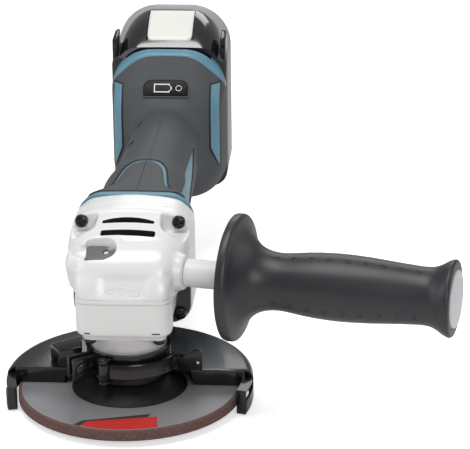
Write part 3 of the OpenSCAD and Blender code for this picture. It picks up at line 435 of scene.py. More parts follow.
labelPaper = newMaterial("labelPaper", (0.24, 0.24, 0.25), roughness=0.45, metallic=0.25,
    grain=0.25, grainScale=1400, mottle=0.09, mottleScale=260)
hubBlack = newMaterial("hubAbrasive", (0.007, 0.0065, 0.0065), specular=0.3, grain=0.6, grainScale=1500,
    mottle=0.3, mottleScale=400)


def abrasiveMaterial():
    # resin-bonded grit: brown ground with pale and dark grains
    material = newMaterial("bondedAbrasive", (0.115, 0.066, 0.056), roughness=0.82, specular=0.3)
    tree = material.node_tree
    shader = tree.nodes["Principled BSDF"]
    grit = addNode(tree, "TexVoronoi", Scale=2300, Vector=(tree.nodes["Texture Coordinate"], "Object"))
    ramp = addNode(tree, "ValToRGB", Fac=(grit, "Color"))
    marks = ramp.color_ramp.elements
    marks[0].position, marks[0].color = 0, (0.072, 0.041, 0.037, 1)
    marks[1].position, marks[1].color = 1, (0.205, 0.115, 0.102, 1)
    marks.new(0.45).color = (0.120, 0.062, 0.055, 1)
    setInputs(shader, {"Base Color": (ramp, "Color")})
    addBump(tree, shader, 0.5, 0.0004, (grit, "Distance"))
    return material


abrasive = abrasiveMaterial()
print("finishes made")

# grinding wheel, flanges and nut

wheelTop, wheelLow, hubBase = -7.4, -13.4, 32
labelProud = 0.10


def makeWheel():
    outer, hubFlat, bore = 62.5, 22, 11.115
    outline = [(bore, -0.02), (hubFlat - 1, -0.02), (hubFlat, -0.3), (hubBase - 1, wheelTop + 0.6),
        (hubBase, wheelTop + 0.15), (hubBase + 1.2, wheelTop), (outer - 0.6, wheelTop),
        (outer, wheelTop - 0.5), (outer, wheelLow + 0.5), (outer - 0.6, wheelLow), (hubBase + 2.5, wheelLow),
        (hubBase + 1, wheelLow + 0.2), (hubFlat + 1.6, -6.5), (hubFlat + 0.6, -6.02), (bore, -6.02)]
    bm = spun(outline, 160, closed=True)
    for face in bm.faces:
        x, y, z = face.calc_center_median()
        face.material_index = hypot(x, y) < hubBase + 1 and z > wheelTop - 0.02
    addPiece("grinding_wheel_body", bm, [abrasive, hubBlack], "spindle", stands="grinding_wheel")
    for name, z, rise in (("top", wheelTop, labelProud), ("under", wheelLow, -labelProud)):
        ring = spun([(32.4, z), (32.5, z + rise), (60.5, z + rise), (60.6, z)], 160, closed=True)
        addPiece("wheel_label_" + name, ring, labelPaper, "spindle")
    # slanted colour blocks on the label, bare of lettering
    red = [(-17.6, -50.4), (19.6, -42.6), (21.2, -56.2), (11, -59.1), (0, -60.1), (-11, -59.1),
        (-20.8, -56.3)]
    dark = [(-24.8, -54.8), (-20.6, -49.7), (15.8, -39.4), (14.6, -43.7), (-17.9, -50.6), (-21.1, -56.3)]
    for name, colour, outline in (("red", redInk, red), ("dark", darkInk, dark)):
        bm = flatShape(outline, wheelTop + labelProud - 0.02, wheelTop + 0.17)
        addPiece("label_block_" + name, bm, colour, "spindle")


def makeFlanges():
    outline = [(7.4, 0), (19.4, 0), (20, 0.6), (20, 3.2), (19.5, 3.7), (13.4, 4.2), (12.6, 5), (12.6, 8.4),
        (12.1, 8.9), (7.4, 8.9)]
    addPiece("inner_flange_turned", spun(outline, closed=True), darkSteel, "spindle", stands="inner_flange")
    outline = [(7.4, -6.1), (18.4, -6.1), (19, -6.7), (19, -8.6), (18.4, -9.2), (12.4, -9.2), (11.8, -9.8),
        (11.8, -11.5), (11.2, -12), (7.4, -12)]
    pinHoles = [rod((x, 0, -8.2), (x, 0, -13), 2.5, sides=28) for x in (-15, 15)]
    bm = cut(spun(outline, closed=True), *pinHoles)
    addPiece("lock_nut_turned", bm, darkSteel, "spindle", stands="lock_nut")
    # threaded nose of the spindle below the nut
    thread = [spot for i in range(7) for spot in ((7, -6.6 - i * 1.1), (6.5, -7.15 - i * 1.1))]
    bm = spun([(0, -6.4), (6.9, -6.4)] + thread + [(6.9, -14), (6.2, -14.5), (0, -14.5)], 72)
    addPiece("spindle_nose", bm, steel, "spindle")


makeWheel()
makeFlanges()
print("wheel made")

# wheel guard


def bisected(bm, faces, place, normal, clear=False):
    geometry = list({v for f in faces for v in f.verts}) + list({e for f in faces for e in f.edges}) + faces
    ops.bisect_plane(bm, geom=geometry, dist=0.001, plane_co=place, plane_no=normal, clear_inner=clear)


def makeGuard():
    sheet, shoulder, hornReach, front, lipIn, lipOut = 1.6, 4, 19, 0.9, 34, 67.2
    r, top = 69.5 - sheet / 2, 2 - sheet / 2
    outline = [(23.9, top), (36, top), (50, top), (r - shoulder, top)]
    for angle in (75, 60, 45, 30, 15, 0):
        outline.append((r - shoulder + shoulder * cos(radians(angle)),
            top - shoulder + shoulder * sin(radians(angle))))
    outline += [(r, -8), (r, -13.8), (r - 0.3, -15.2), (r - 0.9, -16.2)]
    horn = math.degrees(math.asin(hornReach / r))
    bm = spun(outline, 100, start=-horn, sweep=180 + 2 * horn)
    # the flat top ends just behind the wheel's middle, the wall runs on into the horns
    flat = [f for f in bm.faces if f.calc_center_median().z > -2.4]
    bisected(bm, flat, (0, front, 0), (0, 1, 0), clear=True)
    for x in (-lipIn, lipIn):
        bisected(bm, [f for f in bm.faces if f.calc_center_median().y < 8], (x, 0, 0), (1, 0, 0))
    # folded front lip
    lip = [e for e in bm.edges if all(abs(v.co.y - front) < 0.01 and v.co.z > top - 0.01
        and lipIn - 0.1 < abs(v.co.x) < lipOut for v in e.verts)]
    for v in vertsIn(ops.extrude_edge_only(bm, edges=lip)["geom"]):
        v.co.z -= 8.2
        if abs(v.co.x) < lipIn + 0.5:
            v.co.x += math.copysign(3, v.co.x)
    # rounded lower corners of the horns
    corners = [v for v in bm.verts if v.co.y < -hornReach + 0.5 and v.co.z < -15.9]
    ops.bevel(bm, geom=corners, offset=5, offset_type="OFFSET", affect="VERTICES", segments=5, profile=0.5,
        material=-1, clamp_overlap=True)
    ops.remove_doubles(bm, verts=bm.verts, dist=0.01)
    ops.recalc_face_normals(bm, faces=bm.faces)
    bm = bevelled(withModifier(bm, "SOLIDIFY", thickness=sheet, offset=0, use_even_offset=True), 0.4, 2, 50)
    # turned-in flange around each horn
    for start, lean in ((-horn, 0.5 - horn), (179.5, 179.5 + horn)):
        strip = spun([(63.6, -3.4), (69, -3.4), (69, -1.9), (63.6, -1.9)], 10, True, start, horn + 0.5)
        face = bevelled(block(63.6, 69.2, -0.8, 0.8, -16.2, -1.9), 0.7, 3)
        bm = joined(bm, strip, moved(face, turned(lean)))
    addPiece("wheel_guard_sheet", bm, blackPaint, "guard", stands="wheel_guard")


clampAngle = 216


def makeCollar():
    # the guard's split collar, with a rolled top edge and the plate it is welded to
    ring = [(21.4, 0.4), (31.5, 0.4), (31.5, 2), (24.7, 2.2), (23.5, 3.2), (23.5, 18.5), (24.2, 19),
        (24.2, 19.4), (21.8, 19.4), (21.4, 18.9)]
    split = moved(block(20, 40, -1.5, 1.5, 2.4, 30), turned(clampAngle))
    bm = cut(spun(ring, 120, closed=True), block(-40, 40, -40, 1, -1, 4.3), split)
    # two ears beside the split, for the clamp screw
    for off in (-3, 3):
        ear = bevelled(block(22.4, 37.5, off - 1.3, off + 1.3, 4.6, 17.4), 0.9, 3)
        bm = joined(bm, moved(ear, turned(clampAngle)))
    addPiece("guard_collar_ring", bm, blackPaint, "guard", stands="guard_collar")


makeGuard()
makeCollar()
print("guard made")

# clamp lever

leverX, leverY = -11.155, -26.28


def makeLever():
    inner, outer, low, high = 25.8, 27.7, 6.9, 15.7
    band = [(inner, low), (outer - 0.3, low), (outer, low + 0.5), (outer - 0.25, low + 1.7),
        (outer - 0.25, high - 1.7), (outer, high - 0.5), (outer - 0.3, high), (inner, high)]
    bm = spun(band, 48, True, 251.5, 94.5)
    barrel = bevelled(rod((leverX, leverY, 6.35), (leverX, leverY, 16.2), 2.85), 0.3)
    # thumb tab at the free end, bent a little outwards
    tab = [(outer - 0.4, 7.6), (outer + 1.1, 7.8), (outer + 1.1, 14.8), (outer - 0.4, 15)]
    bm = joined(bm, barrel, spun(tab, 8, True, 334, 12))
    addPiece("clamp_lever_band", bm, blackPaint, "clamp_lever", stands="clamp_lever")


makeLever()
print("clamp made")

# gear head

# place along the body: half width, top, upper corner, crown
headTable = [(-27, 18.4, 54, 3, 0.3), (-26.4, 21.6, 56.5, 4, 0.5), (-25, 24, 60.3, 6, 0.8),
    (-23, 25.4, 64.6, 8, 1.4), (-20, 26.2, 69.4, 10, 2), (-16, 26.6, 73.8, 11, 2.5), (-12, 27.4, 77, 12, 3),
    (-6, 29.6, 80, 12, 3.4), (0, 32, 82.4, 12, 3.8), (6, 33.6, 84.2, 12, 4), (16, 34.1, 86.8, 12, 4.2),
    (24, 34.1, 88.3, 12, 4.4), (32, 34.1, 89.3, 12, 4.6), (47.8, 34.1, 89.5, 12, 4.8)]
# edges of the low raised pad on the front of the dome, left and right of the middle
padEdges = smoothPath([(-27, -13.2, 12.3), (-23.2, -12, 15.1), (-19, -8.5, 14.9), (-14.8, -3.4, 15),
    (-9, -3, 16.4), (-1.5, -3, 17.6)], 4)
handleHeight = 63.5


def headRing(a, y):
    half, high, topR, crown = blendTable(headTable, y)
    return rectAcross(a, y, half, 50.5, high, topR, 1, crown)


def boxRing(a, z, grow):
    # plan of the lower box: front corners rounded, back running into the flange
    return rectLevel(a, z, 26.6 + grow, -27 - grow, 30, 8, 8)


def flangeRing(a, y, grow):
    return rectAcross(a, y, 34.1 + grow, 20.7 - grow, 89.5 + grow, 12, 12.5, 4.8)


def planHalf(y):
    # half width of the casting in plan at the parting lines
    corner = max(0, -19 - y)
    return max(blendTable(headTable, y)[0], 18.6 + sqrt(max(0, 64 - corner * corner)))


def partingGroove(low, high, depth):
    rows = [-27, -26.9, -26.6, -26, -25, -24, -22, -20, -17, -14, -10, -5, 0, 5, 10, 16, 20]
    outline = bothSides([(planHalf(y) - depth, y + depth) for y in rows])
    return cut(block(-60, 60, -40, 19, low, high), flatShape(outline, low - 1, high + 1))


def makeDome():
    rows = [-27, -26.4, -25.6, -24.6, -23.4, *range(-22, -12, 2), *range(-12, 7, 3), 11, *range(16, 33, 4),
        40, 47.8]
    dome = stack(180, headRing, [(y,) for y in rows])
    dome.normal_update()
    for v in dome.verts:
        x, y, z = v.co
        if y < -1 and z > 55:
            left, right = blendTable(padEdges, y)
            v.co += v.normal * 1.2 * min(ease((x - left) / 1.2), ease((right - x) / 1.2), ease(z - 55.4))
    box = stack(128, boxRing, [(32, -0.9), (32.5, -0.2), (33.2, 0), (50.8, 0), (51.5, 0.1), (53.2, 0.1),
        (53.8, -0.3), (54.2, -1)])
    flange = stack(144, flangeRing, [(22, -1), (22.5, -0.3), (23.4, 0), (47.8, 0)])
    middle = (-4.06, handleHeight)
    shoulderL = rod((34, -7.66, handleHeight), (18, *middle), 9.6, 13.5)
    shoulderR = rod((-31.6, -7.12, handleHeight), (-18, *middle), 8.8, 12.5)
    lump = ball((-27.4, -8, 68), (5.6, 9, 9))
    # one broad swell across the front, from two spheres blended into each other
    swell = bmesh.new()
    ops.create_icosphere(swell, subdivisions=5, radius=1)
    for v in swell.verts:
        x, y, z = v.co
        v.co = Vector((x * 17 + math.copysign(16.6, x) * ease(abs(x) * 4), y * 22, 63.4 + z * 16.4))
    return softened(joined(dome, box, flange, shoulderL, shoulderR, lump, swell), 0.62, 16)


def notchRing(a, side, z, grow):
    spot = rectLevel(a, z, 16.8 + grow, 3.6 - grow, 22, 0.8, 9)
    spot.x = side * (35.2 + spot.x)
    return spot


def makeHead():
    bm = makeDome()
    for side in (-1, 1):
        # scooped notch for the upper screw, the lower screw's pocket, and the side handle's bore
        notch = stack(96, notchRing, [(side, z, g) for z, g in ((76.6, -2.4), (76.9, -1.2), (77.8, -0.3),
            (79.5, 0), (84, 0.5), (88, 1.4), (98, 4))])
        low = stack(64, lambda a, y: Vector((side * 31 + 7.6 * cos(a), y, 31 + 10.8 * sin(a))),
            [(-14,), (22,)])
        seat = Vector((side * 0.9755, -0.2198, 0))
        up = Vector((0, 0, handleHeight))
        bm = cut(bm, notch, low, rod(seat * 23 + up, seat * 40 + up, 4.15))
    # hollow beside the lock button, open to the left, and a shallow scoop behind it
    scoop = stack(72, buttonRing, [(74.6, 0.5), (77.2, 0.7), (80, 1), (83, 1.5)])
    bm = softened(cut(bm, ball((-23, -10.5, 77), (7.5, 5.6, 4.6)), scoop), 0.535, 2)
    # crisp openings: two vents, the button's pocket and the parting lines
    slot = bevelled(block(-14.2, 16, -0.4, 4.3, 74, 100), 1, 3, 80)
    lens = arcPoints(0.1, -26.5, 42.4, 70.2, 109.8, 24)
    lens += [(-14.4, 12.4), (-14.1, 11), (-13.4, 10.7), (13.6, 10.9), (14.4, 11.2), (14.6, 12.6)]
    bm = cut(bm, slot, flatShape(lens, 74, 100), stack(96, buttonRing, [(64.6, 0.45), (90, 0.45)]),
        partingGroove(51.15, 51.5, 0.4), partingGroove(53.8, 54.15, 0.45))
    bm.normal_update()
    for f in bm.faces:
        x, y, z = f.calc_center_median()
        # walls and floors of the two vents take the near-black colour as painted shade
        inVent = z < blendTable(headTable, y)[1] - 0.25 and (abs(f.normal.z) < 0.55 or z < 76)
        if inVent and (abs(x - 0.8) < 15.6 and -0.6 < y < 4.5 or abs(x) < 15 and 10.3 < y < 16.4):
            f.material_index = 1
        # seat and walls of the lower screw pockets take the near-black casting colour as painted shade
        elif z < 46 and 21.4 < y < 22.6 and abs(x) > 22 and f.normal.y < -0.5:
            f.material_index = 2
        elif z < 44 and 2 < y < 22.2 and abs(x) > 25.6:
            f.material_index = 2
    return addPiece("gear_head_casting", bm, [paint, sealAndPaintedShade, castPaintedShade], sharp=50, stands="gear_housing")


def makeHeadTrim(head):
    # near-black beads that paint the shade of two slits near the box's lower edge, the rim's two ridges and a
    # raised direction arrow
    ridge = bothSides([(-31, 30.2, 78), (-28, 30.4, 82.5), (-23, 30.6, 86), (-18, 30.8, 87.6), (0, 31.2, 89)])
    rearRidge = bothSides([(-30, 35.4, 80), (-22, 35.6, 86.4), (0, 36, 89.3)])
    for name, path, r, material in (
            ("box_slit_left", [(x, -27, 34.3) for x in (-21.2, -19.6, -17.9)], 0.42, sealAndPaintedShade),
            ("box_slit_right", [(x, -27, 34.5) for x in (16, 18.2, 20.6)], 0.42, sealAndPaintedShade),
            ("rim_ridge", smoothPath(ridge, 8), 0.42, paint),
            ("rim_ridge_rear", smoothPath(rearRidge, 10), 0.36, paint)):
        addPiece(name, bead(path, r, head, 10, 0.12), material, sharp=70)
    corners = [(-9, 59.7), (-2.3, 62.6), (-0.9, 61.4), (9.1, 61), (9.1, 57.1), (-1.6, 57.6), (-3.2, 56.4)]
    path = [(x + (nextX - x) * k / 6, -27, z + (nextZ - z) * k / 6)
        for (x, z), (nextX, nextZ) in zip(corners, corners[1:] + corners[:1]) for k in range(6)]
    addPiece("turning_arrow", bead(path, 0.34, head, 8, 0.14, closed=True), paint, sharp=70)


def buttonRing(a, z, grow):
    # outline of the lock button: a round end near the middle, a blunt end to the left
    if cos(a) > 0:
        x, y = (6.9 + grow) * cos(a), (6.9 + grow) * sin(a)
    else:
        x, y = roundRect(a, 9 + grow, -6.9 - grow, 6.9 + grow, 1.4, 1.4)
    return Vector((-11.8 + x, -9.5 + y, z))


def makeLockButton():
    # the cap's top leans forward with the dome
    bm = stack(96, buttonRing, [(70.2, -0.05), (74.9, -0.05), (75.5, -0.3), (75.8, -0.9)])
    for v in bm.verts:
        if v.co.z > 71:
            v.co.z += 0.28 * (v.co.y + 9.5) - 0.9
    place = shift(-10, -8.6, 0)
    dimple = spun([(0, 73.8), (1.6, 73.8), (2, 74.4), (2, 79.5), (0, 79.5)], 32)
    bm = cut(bm, moved(dimple, place))
    addPiece("lock_button_cap", bm, buttonGrey, "shaft_lock", stands="lock_button")
    pip = spun([(0, 75.2), (1, 75), (1.35, 74.5), (1.35, 73.4), (0, 73.4)], 24)
    addPiece("lock_button_pip", moved(pip, place), whitePlastic, "shaft_lock")


head = makeHead()
makeHeadTrim(head)
makeLockButton()
print("gear head made", len(head.data.polygons))

# body: the blue housing, and the dark overmould that wraps the grip and the tail

# place along the body: half width, underside, top, upper corner, lower corner
bodyTable = smoothPath([(48.1, 33.4, 21.2, 88.8, 13, 13), (52, 33.2, 21.4, 88.8, 13.5, 13),
    (56, 32, 22.6, 88.6, 14.5, 14), (60, 30.3, 24.6, 88.4, 16, 15.5), (65, 28.4, 27, 88.2, 17.8, 17.5),
    (70, 27, 29, 88, 19, 19), (77, 26, 30, 87.9, 20, 20), (100, 25.6, 30.2, 87.6, 20.5, 20),
    (112, 24.8, 31, 87, 20.5, 20), (120, 23.7, 32.6, 86.2, 20.8, 20), (130, 22.8, 34.2, 85.6, 21, 20),
    (150, 22.2, 34.7, 85.3, 21, 20), (180, 21.8, 34.7, 85.3, 21, 20), (200, 21, 34.7, 85.2, 20.4, 19),
    (210, 20.4, 34.7, 85.2, 19.8, 18), (216, 20.3, 34.6, 85.3, 19.2, 17), (220, 20.9, 34.2, 86, 18, 17),
    (224, 22.9, 32.6, 88.4, 16.8, 17.5), (228, 27, 29.8, 92.6, 16.6, 19), (232, 31.6, 27.4, 97.8, 18, 21),
    (236, 33.8, 24.8, 102.8, 20.5, 23), (240, 34.8, 22.2, 108.2, 23, 24), (244.5, 35.6, 19.6, 114, 25, 25.5),
    (248.5, 36.2, 18.8, 116.8, 26, 25.5), (254.1, 36.7, 18.75, 117.5, 26.5, 25.5)], 4)

# angle down from the crown: where the overmould starts, and where it ends at the tail
frontEdge = smoothPath([(0, 118), (9, 116.8), (16, 113.5), (22, 107.5), (26, 99.5), (28.5, 90), (31, 79),
    (34.5, 69), (38, 62.5), (41, 60.5), (44, 65), (47.5, 80), (51, 102), (54, 126), (57, 154), (59.5, 180),
    (61.5, 190.5), (64, 189), (69, 180), (76, 172), (84, 167), (93, 160), (102, 145), (110, 127),
    (118, 118.2), (180, 118)], 4)
rearEdge = smoothPath([(0, 244.6), (14, 244.3), (24, 243.4), (33, 242.9), (40, 243.3), (46, 245.2),
    (51, 248.2), (56, 251.6), (60, 253.6), (64, 254), (180, 254)], 4)
moulding = 0.75
overmouldRows = [196, 200, 204, 208, 212, 215, *range(217, 244, 2), 244.5, 246, 247.5, 249, 250.5, 252, 253.2]
handleScrews = [(124, 78), (168, 78.5), (206, 78.5), (126, 53), (235, 36)]


def tableRing(a, table, y, grow=0, crown=0):
    half, low, high, topR, lowR = blendTable(table, y)
    return rectAcross(a, y, half + grow, low - grow, high + grow, topR, lowR, crown)


def section(y, a, grow=0):
    return tableRing(a, bodyTable, y, grow, 0.8)


def fromCrown(a):
    d = abs(math.degrees(a) - 90)
    return min(d, 360 - d)


def overmouldFront(a):
    return blendTable(frontEdge, fromCrown(a))[0]


def overmouldRear(a):
    return blendTable(rearEdge, fromCrown(a))[0]


def sealFront(a):
    d = fromCrown(a)
    return min(blendTable(frontEdge, max(0, min(180, d + s)))[0] for s in (-1.1, 0, 1.1)) - 0.8


def skinPoint(a, y, grow=0):
    # a point on the overmould, with the fine seam of its two halves along the top
    spot = section(y, a, moulding + grow)
    if sin(a) > 0 and abs(spot.x) < 0.25:
        spot.z -= 0.22
    return spot


def behindEdge(a, step, grow):
    return skinPoint(a, overmouldFront(a) + step, grow)


def towardTail(a, share):
    front = overmouldFront(a)
    return skinPoint(a, front + (overmouldRows[0] - front) * share)


def acrossTail(a, y):
    # rows past the rear edge are drawn up close in front of it
    last, room, end = overmouldRear(a), 1.5, 254.2
    if y >= last - room:
        y = last - room * max(0, (end - y) / (end - last + room))
    return skinPoint(a, y)


def beforeEnd(a, step, grow):
    return section(overmouldRear(a) - step, a, moulding + grow)


def jointRing(a, step, share, grow):
    front = sealFront(a)
    return section(front + step + (overmouldRows[0] - front) * share, a, grow)


def channelCutter():
    # T-shaped opening in the tail's end, for the battery's rails
    half, neck, lip = 31.35, 27.85, 252.6
    return flatShape(bothSides([(half, 250.4), (half, lip), (neck, lip), (neck, 300)]), 29.65, 300)


gaugePlace = shift(0, 231.06, 97.32) @ turned(51.34, "X")


def gaugeOutline(grow):
    half, reach, low, high = 14.5, 5.7, 1.2, 5.4
    arcs = ((low - half, low - reach, low, 180), (half - low, low - reach, low, 270),
        (half - high, reach - high, high, 0), (high - half, reach - high, high, 90))
    return [spot for x, y, r, start in arcs for spot in arcPoints(x, y, r + grow, start, start + 90)]


def paddleRecess():
    return block(-15.6, 15.6, 118.6, 222.6, 8, 46.5)


def makeBody():
    rows = [48.1, 48.5, *range(50, 61, 2), 62.5, 65, 67.5, 70, 73, 77, *range(82, 113, 6), 116, 120, 125, 130,
        137, *range(145, 196, 10), 200]
    bm = stack(200, lambda a, y: section(y, a, -0.6 if y == rows[0] else 0), [(y,) for y in rows])
    # slanted air slits in both sides, with painted shade inside
    slits = []
    for side in (-1, 1):
        for y in (59, 64, 69, 74):
            place = shift(side * blendTable(bodyTable, y)[0], y, 57) @ turned(16, "X")
            slits.append(moved(bevelled(block(-3.6, 3.6, -1.05, 1.05, -7.5, 7.5), 0.9, 3, 80), place))
    bm = cut(bm, joined(*slits), paddleRecess())
    # faces inside the slits take the near-black colour as painted shade
    for f in bm.faces:
        x, y, z = f.calc_center_median()
        if 54 < y < 80 and 45 < z < 70 and abs(x) < blendTable(bodyTable, y)[0] - 0.9:
            f.material_index = 1
    addPiece("motor_housing_shell", bm, [blue, sealAndPaintedShade], sharp=40, stands="motor_housing")


def makeOvermould():
    rows = [(behindEdge, 0.5, -moulding - 0.8), (behindEdge, 0, -0.45), (behindEdge, 0.2, -0.12),
        (behindEdge, 0.7, 0)]
    rows += [(towardTail, 0.01 + 0.99 * k / 18) for k in range(1, 18)]
    rows += [(acrossTail, y) for y in overmouldRows]
    rows += [(beforeEnd, 0.3, 0), (beforeEnd, 0.08, -0.15), (beforeEnd, 0, -0.45),
        (beforeEnd, 0.4, -moulding - 0.8)]
    bm = stack(320, lambda a, kind, *row: kind(a, *row), rows)
    holes = [rod((-12.2, y, z), (-60, y, z), 3.4, sides=36) for y, z in handleScrews]
    bm = cut(bm, paddleRecess(), channelCutter(), moved(flatShape(gaugeOutline(0.5), -2.6, 6), gaugePlace),
        joined(*holes))
    over = addPiece("handle_overmould", bm, rubber, sharp=38, stands="handle_left handle_right")
    for number, (y, z) in enumerate(handleScrews, 1):
        addPiece(f"handle_screw_{number}", screwHead((-12.2, y, z), (-1, 0, 0), 3, 2.4), screwBlack, sharp=35,
            stands="handle_screws" if number == 1 else "")
    # black joint around the overmould's front edge
    rows = [(0.3, 0, -0.8), (0, 0, 0)] + [(0.12, k / 16, 0.22) for k in range(17)] + [(2, 1, -0.8)]
    addPiece("handle_joint", cut(stack(320, jointRing, rows), paddleRecess()), sealAndPaintedShade)
    return over


def panelEdge(a, inset):
    # rear edge of the barrel's top panel, a set distance inside the overmould's edge
    return blendTable(frontEdge, min(180, fromCrown(a) + inset * 1.75))[0] - inset


def makeBarrelPanel():
    for name, inset, grow, front, material, reach in (
            ("barrel_panel_joint", 2.5, 0.25, 53.4, sealAndPaintedShade, 43.5),
            ("barrel_panel", 3.3, moulding, 54.2, rubber, 42)):
        bm, upper = doubleSheet(120, 40)
        for v in bm.verts:
            u, w = v.co.x * 2, v.co.y + 0.5
            a = radians(90 + u * reach)
            y = front + (max(front + 0.8, panelEdge(a, inset)) - front) * w
            if v in upper:
                atRim = min(w, 1 - w, (1 - abs(u)) * 2) < 0.001
                v.co = section(y, a, grow - 0.3 * atRim)
                v.co.z -= 0.35 * (abs(v.co.x) < 0.2)
            else:
                v.co = section(y, a, -0.6)
        addPiece(name, bm, material, sharp=38)


def bandRing(a, share, grow):
    edge = overmouldRear(a)
    start = min(253.2, edge + 0.55)
    return section(start + (254.1 - start) * share, a, grow - 0.9 * ease((edge - 251) / 1.6))


def bandJointRing(a, limit, step, grow):
    return section(min(limit, overmouldRear(a) + 0.7 + step), a, grow)


def makeTailTrim(over):
    # blue band across the rear of the tail, and the joint in front of it
    level = [(share, moulding) for share in (0.05, 0.3, 0.5, 0.7, 0.9, 0.98)]
    rows = [(0, -1), (0, 0.35), *level, (1, 0.4), (1, -1)]
    addPiece("tail_band", cut(stack(240, bandRing, rows), channelCutter()), blue, sharp=38)
    rows = [(243, 0, -0.8), (243.4, 0, 0.2), (254, 0, 0.2), (254.05, 0.15, 0), (254.05, 0, -0.8)]
    addPiece("tail_band_joint", cut(stack(240, bandJointRing, rows), channelCutter()), sealAndPaintedShade)
    # blue flashes down the tail's cheeks, with pointed lower ends and a black surround
    for side, word in leftRight:
        for name, inner, outer, high, low, tip, rise, material in (
                ("joint", 27.9, 34.5, 99, 57, 43.2, 0.25, sealAndPaintedShade),
                ("flash", 28.6, 33.8, 98.2, 58.5, 45, 0.8, blue)):
            bm, upper = doubleSheet(6, 50)
            for v in bm.verts:
                u, t = v.co.x + 0.5, v.co.y + 0.5
                base = low + (tip - low) * u
                x, z = side * (inner + (outer - inner) * u), base + (high - base) * t
                found, spot, normal, index = over.ray_cast(Vector((x, 150, z)) * mm, Vector((0, 1, 0)))
                spot = Vector((x, spot.y / mm if found else 240, z))
                v.co = spot + Vector((side * 0.5, -0.86, 0)) * (rise if v in upper else -1.2)
            addPiece(f"tail_{name}_{word}", bm, material, sharp=38)
    # raised line that frames the gauge panel
    path = bothSides([(-27.5, 228, 76), (-28, 233, 86), (-26.5, 238, 95), (-22, 242, 102.5),
        (-13, 243, 108.5), (0, 243, 110.5)])
    line = bead(smoothPath(path, 8), 0.55, over, 10, 0.25, flat=0.8)
    addPiece("shield_line", line, rubber, sharp=60)


def mirrored(points):
    return points + [(x, -y) for x, y in points[::-1]]


def makeGauge():
    knob = 8.4
    rim = cut(flatShape(gaugeOutline(0.9), -2, 0.75), flatShape(gaugeOutline(-0.1), -2.5, 3))
    addPiece("gauge_rim", moved(bevelled(rim, 0.25), gaugePlace), rubber)
    face = bevelled(flatShape(gaugeOutline(-0.15), -2, 0.5), 0.3, 3)
    face = cut(face, rod((knob, 0, -3), (knob, 0, 3), 2.8, sides=40))
    addPiece("gauge_face", moved(face, gaugePlace), panelBlack, sharp=40, stands="gauge_panel")
    # battery symbol: an open frame with its contact, as a flat printed line
    shape = mirrored([(-7.6, -3), (2.6, -3), (2.6, -1.7), (3.9, -0.9)])
    inner = mirrored([(-6.85, -2.25), (1.85, -2.25), (1.85, -1.9), (3.15, -1)])
    symbol = cut(flatShape(shape, 0.3, 0.62), flatShape(inner, 0, 2))
    addPiece("gauge_symbol", moved(symbol, gaugePlace), lineWhite)
    place = gaugePlace @ shift(knob, 0, 0)
    button = spun([(0, 0.62), (1.9, 0.6), (2.4, 0.45), (2.55, 0.1), (2.55, -1.2), (0, -1.2)], 40)
    addPiece("gauge_button_cap", moved(button, place), panelBlack, "gauge_button", stands="gauge_button")
    ring = spun([(1.55, 0.5), (1.6, 0.72), (2, 0.72), (2.1, 0.45)], 40, closed=True)
    addPiece("gauge_button_ring", moved(ring, place), lineWhite, "gauge_button")


def makeTerminals():
    # plate and blades that the battery slides onto
    plate = bevelled(block(-16, 16, 248.4, 250.65, 50, 90), 0.3)
    addPiece("terminal_plate", plate, satinBlack, sharp=40, stands="terminal_block")
    blades = joined(*[bevelled(block(x - 0.7, x + 0.7, 250, 256.5, 53, 87), 0.2) for x in (-10, 0, 10)])
    addPiece("terminal_blades", blades, brass, sharp=40, stands="terminal_block")


makeBody()
over = makeOvermould()
makeTerminals()
makeBarrelPanel()
makeTailTrim(over)
makeGauge()
print("body made", len(over.data.polygons))

# battery

# place along the body: half width, underside, top, upper corner, lower corner
shellTable = smoothPath([(268.2, 37.3, 23.2, 108, 6, 12), (284, 37.3, 23.2, 114, 12, 12),
    (289, 37.3, 23.2, 120, 18, 12), (292, 37.3, 23.2, 127.5, 24, 12), (295, 37.3, 23.2, 133, 26, 12),
    (298, 37.3, 23.2, 134.6, 26.5, 12), (301, 37.2, 23.2, 134.9, 26.5, 12), (303.2, 36.7, 23.7, 134, 26, 12),
    (304.4, 35.6, 25, 132, 25, 11.5)], 3)
faceTable = smoothPath([(254.6, 33.6, 90, 118.2, 13, 4), (258, 33.6, 90, 120.8, 14, 4),
    (264, 33.5, 90, 124.6, 15, 4), (270, 33.4, 90, 127.8, 16.5, 4), (276, 33.2, 90, 130.6, 18.5, 4),
    (282, 32.9, 90, 132.8, 20.5, 4), (287, 32.4, 90, 134.2, 22, 4), (290, 32, 90, 134.8, 22.5, 4),
    (292, 31.2, 90, 134.4, 22, 4), (293.2, 30.2, 90, 133.4, 21.5, 4)], 4)


def buttonPocket():
    return block(-15.1, 15.1, 259.1, 288.9, 112.5, 145)


def frontRing(a, y, grow):
    return rectAcross(a, y, 37.4 + grow, 23.2 - grow, 111 + (y - 254.4) * 0.5 + grow, 5, 11)


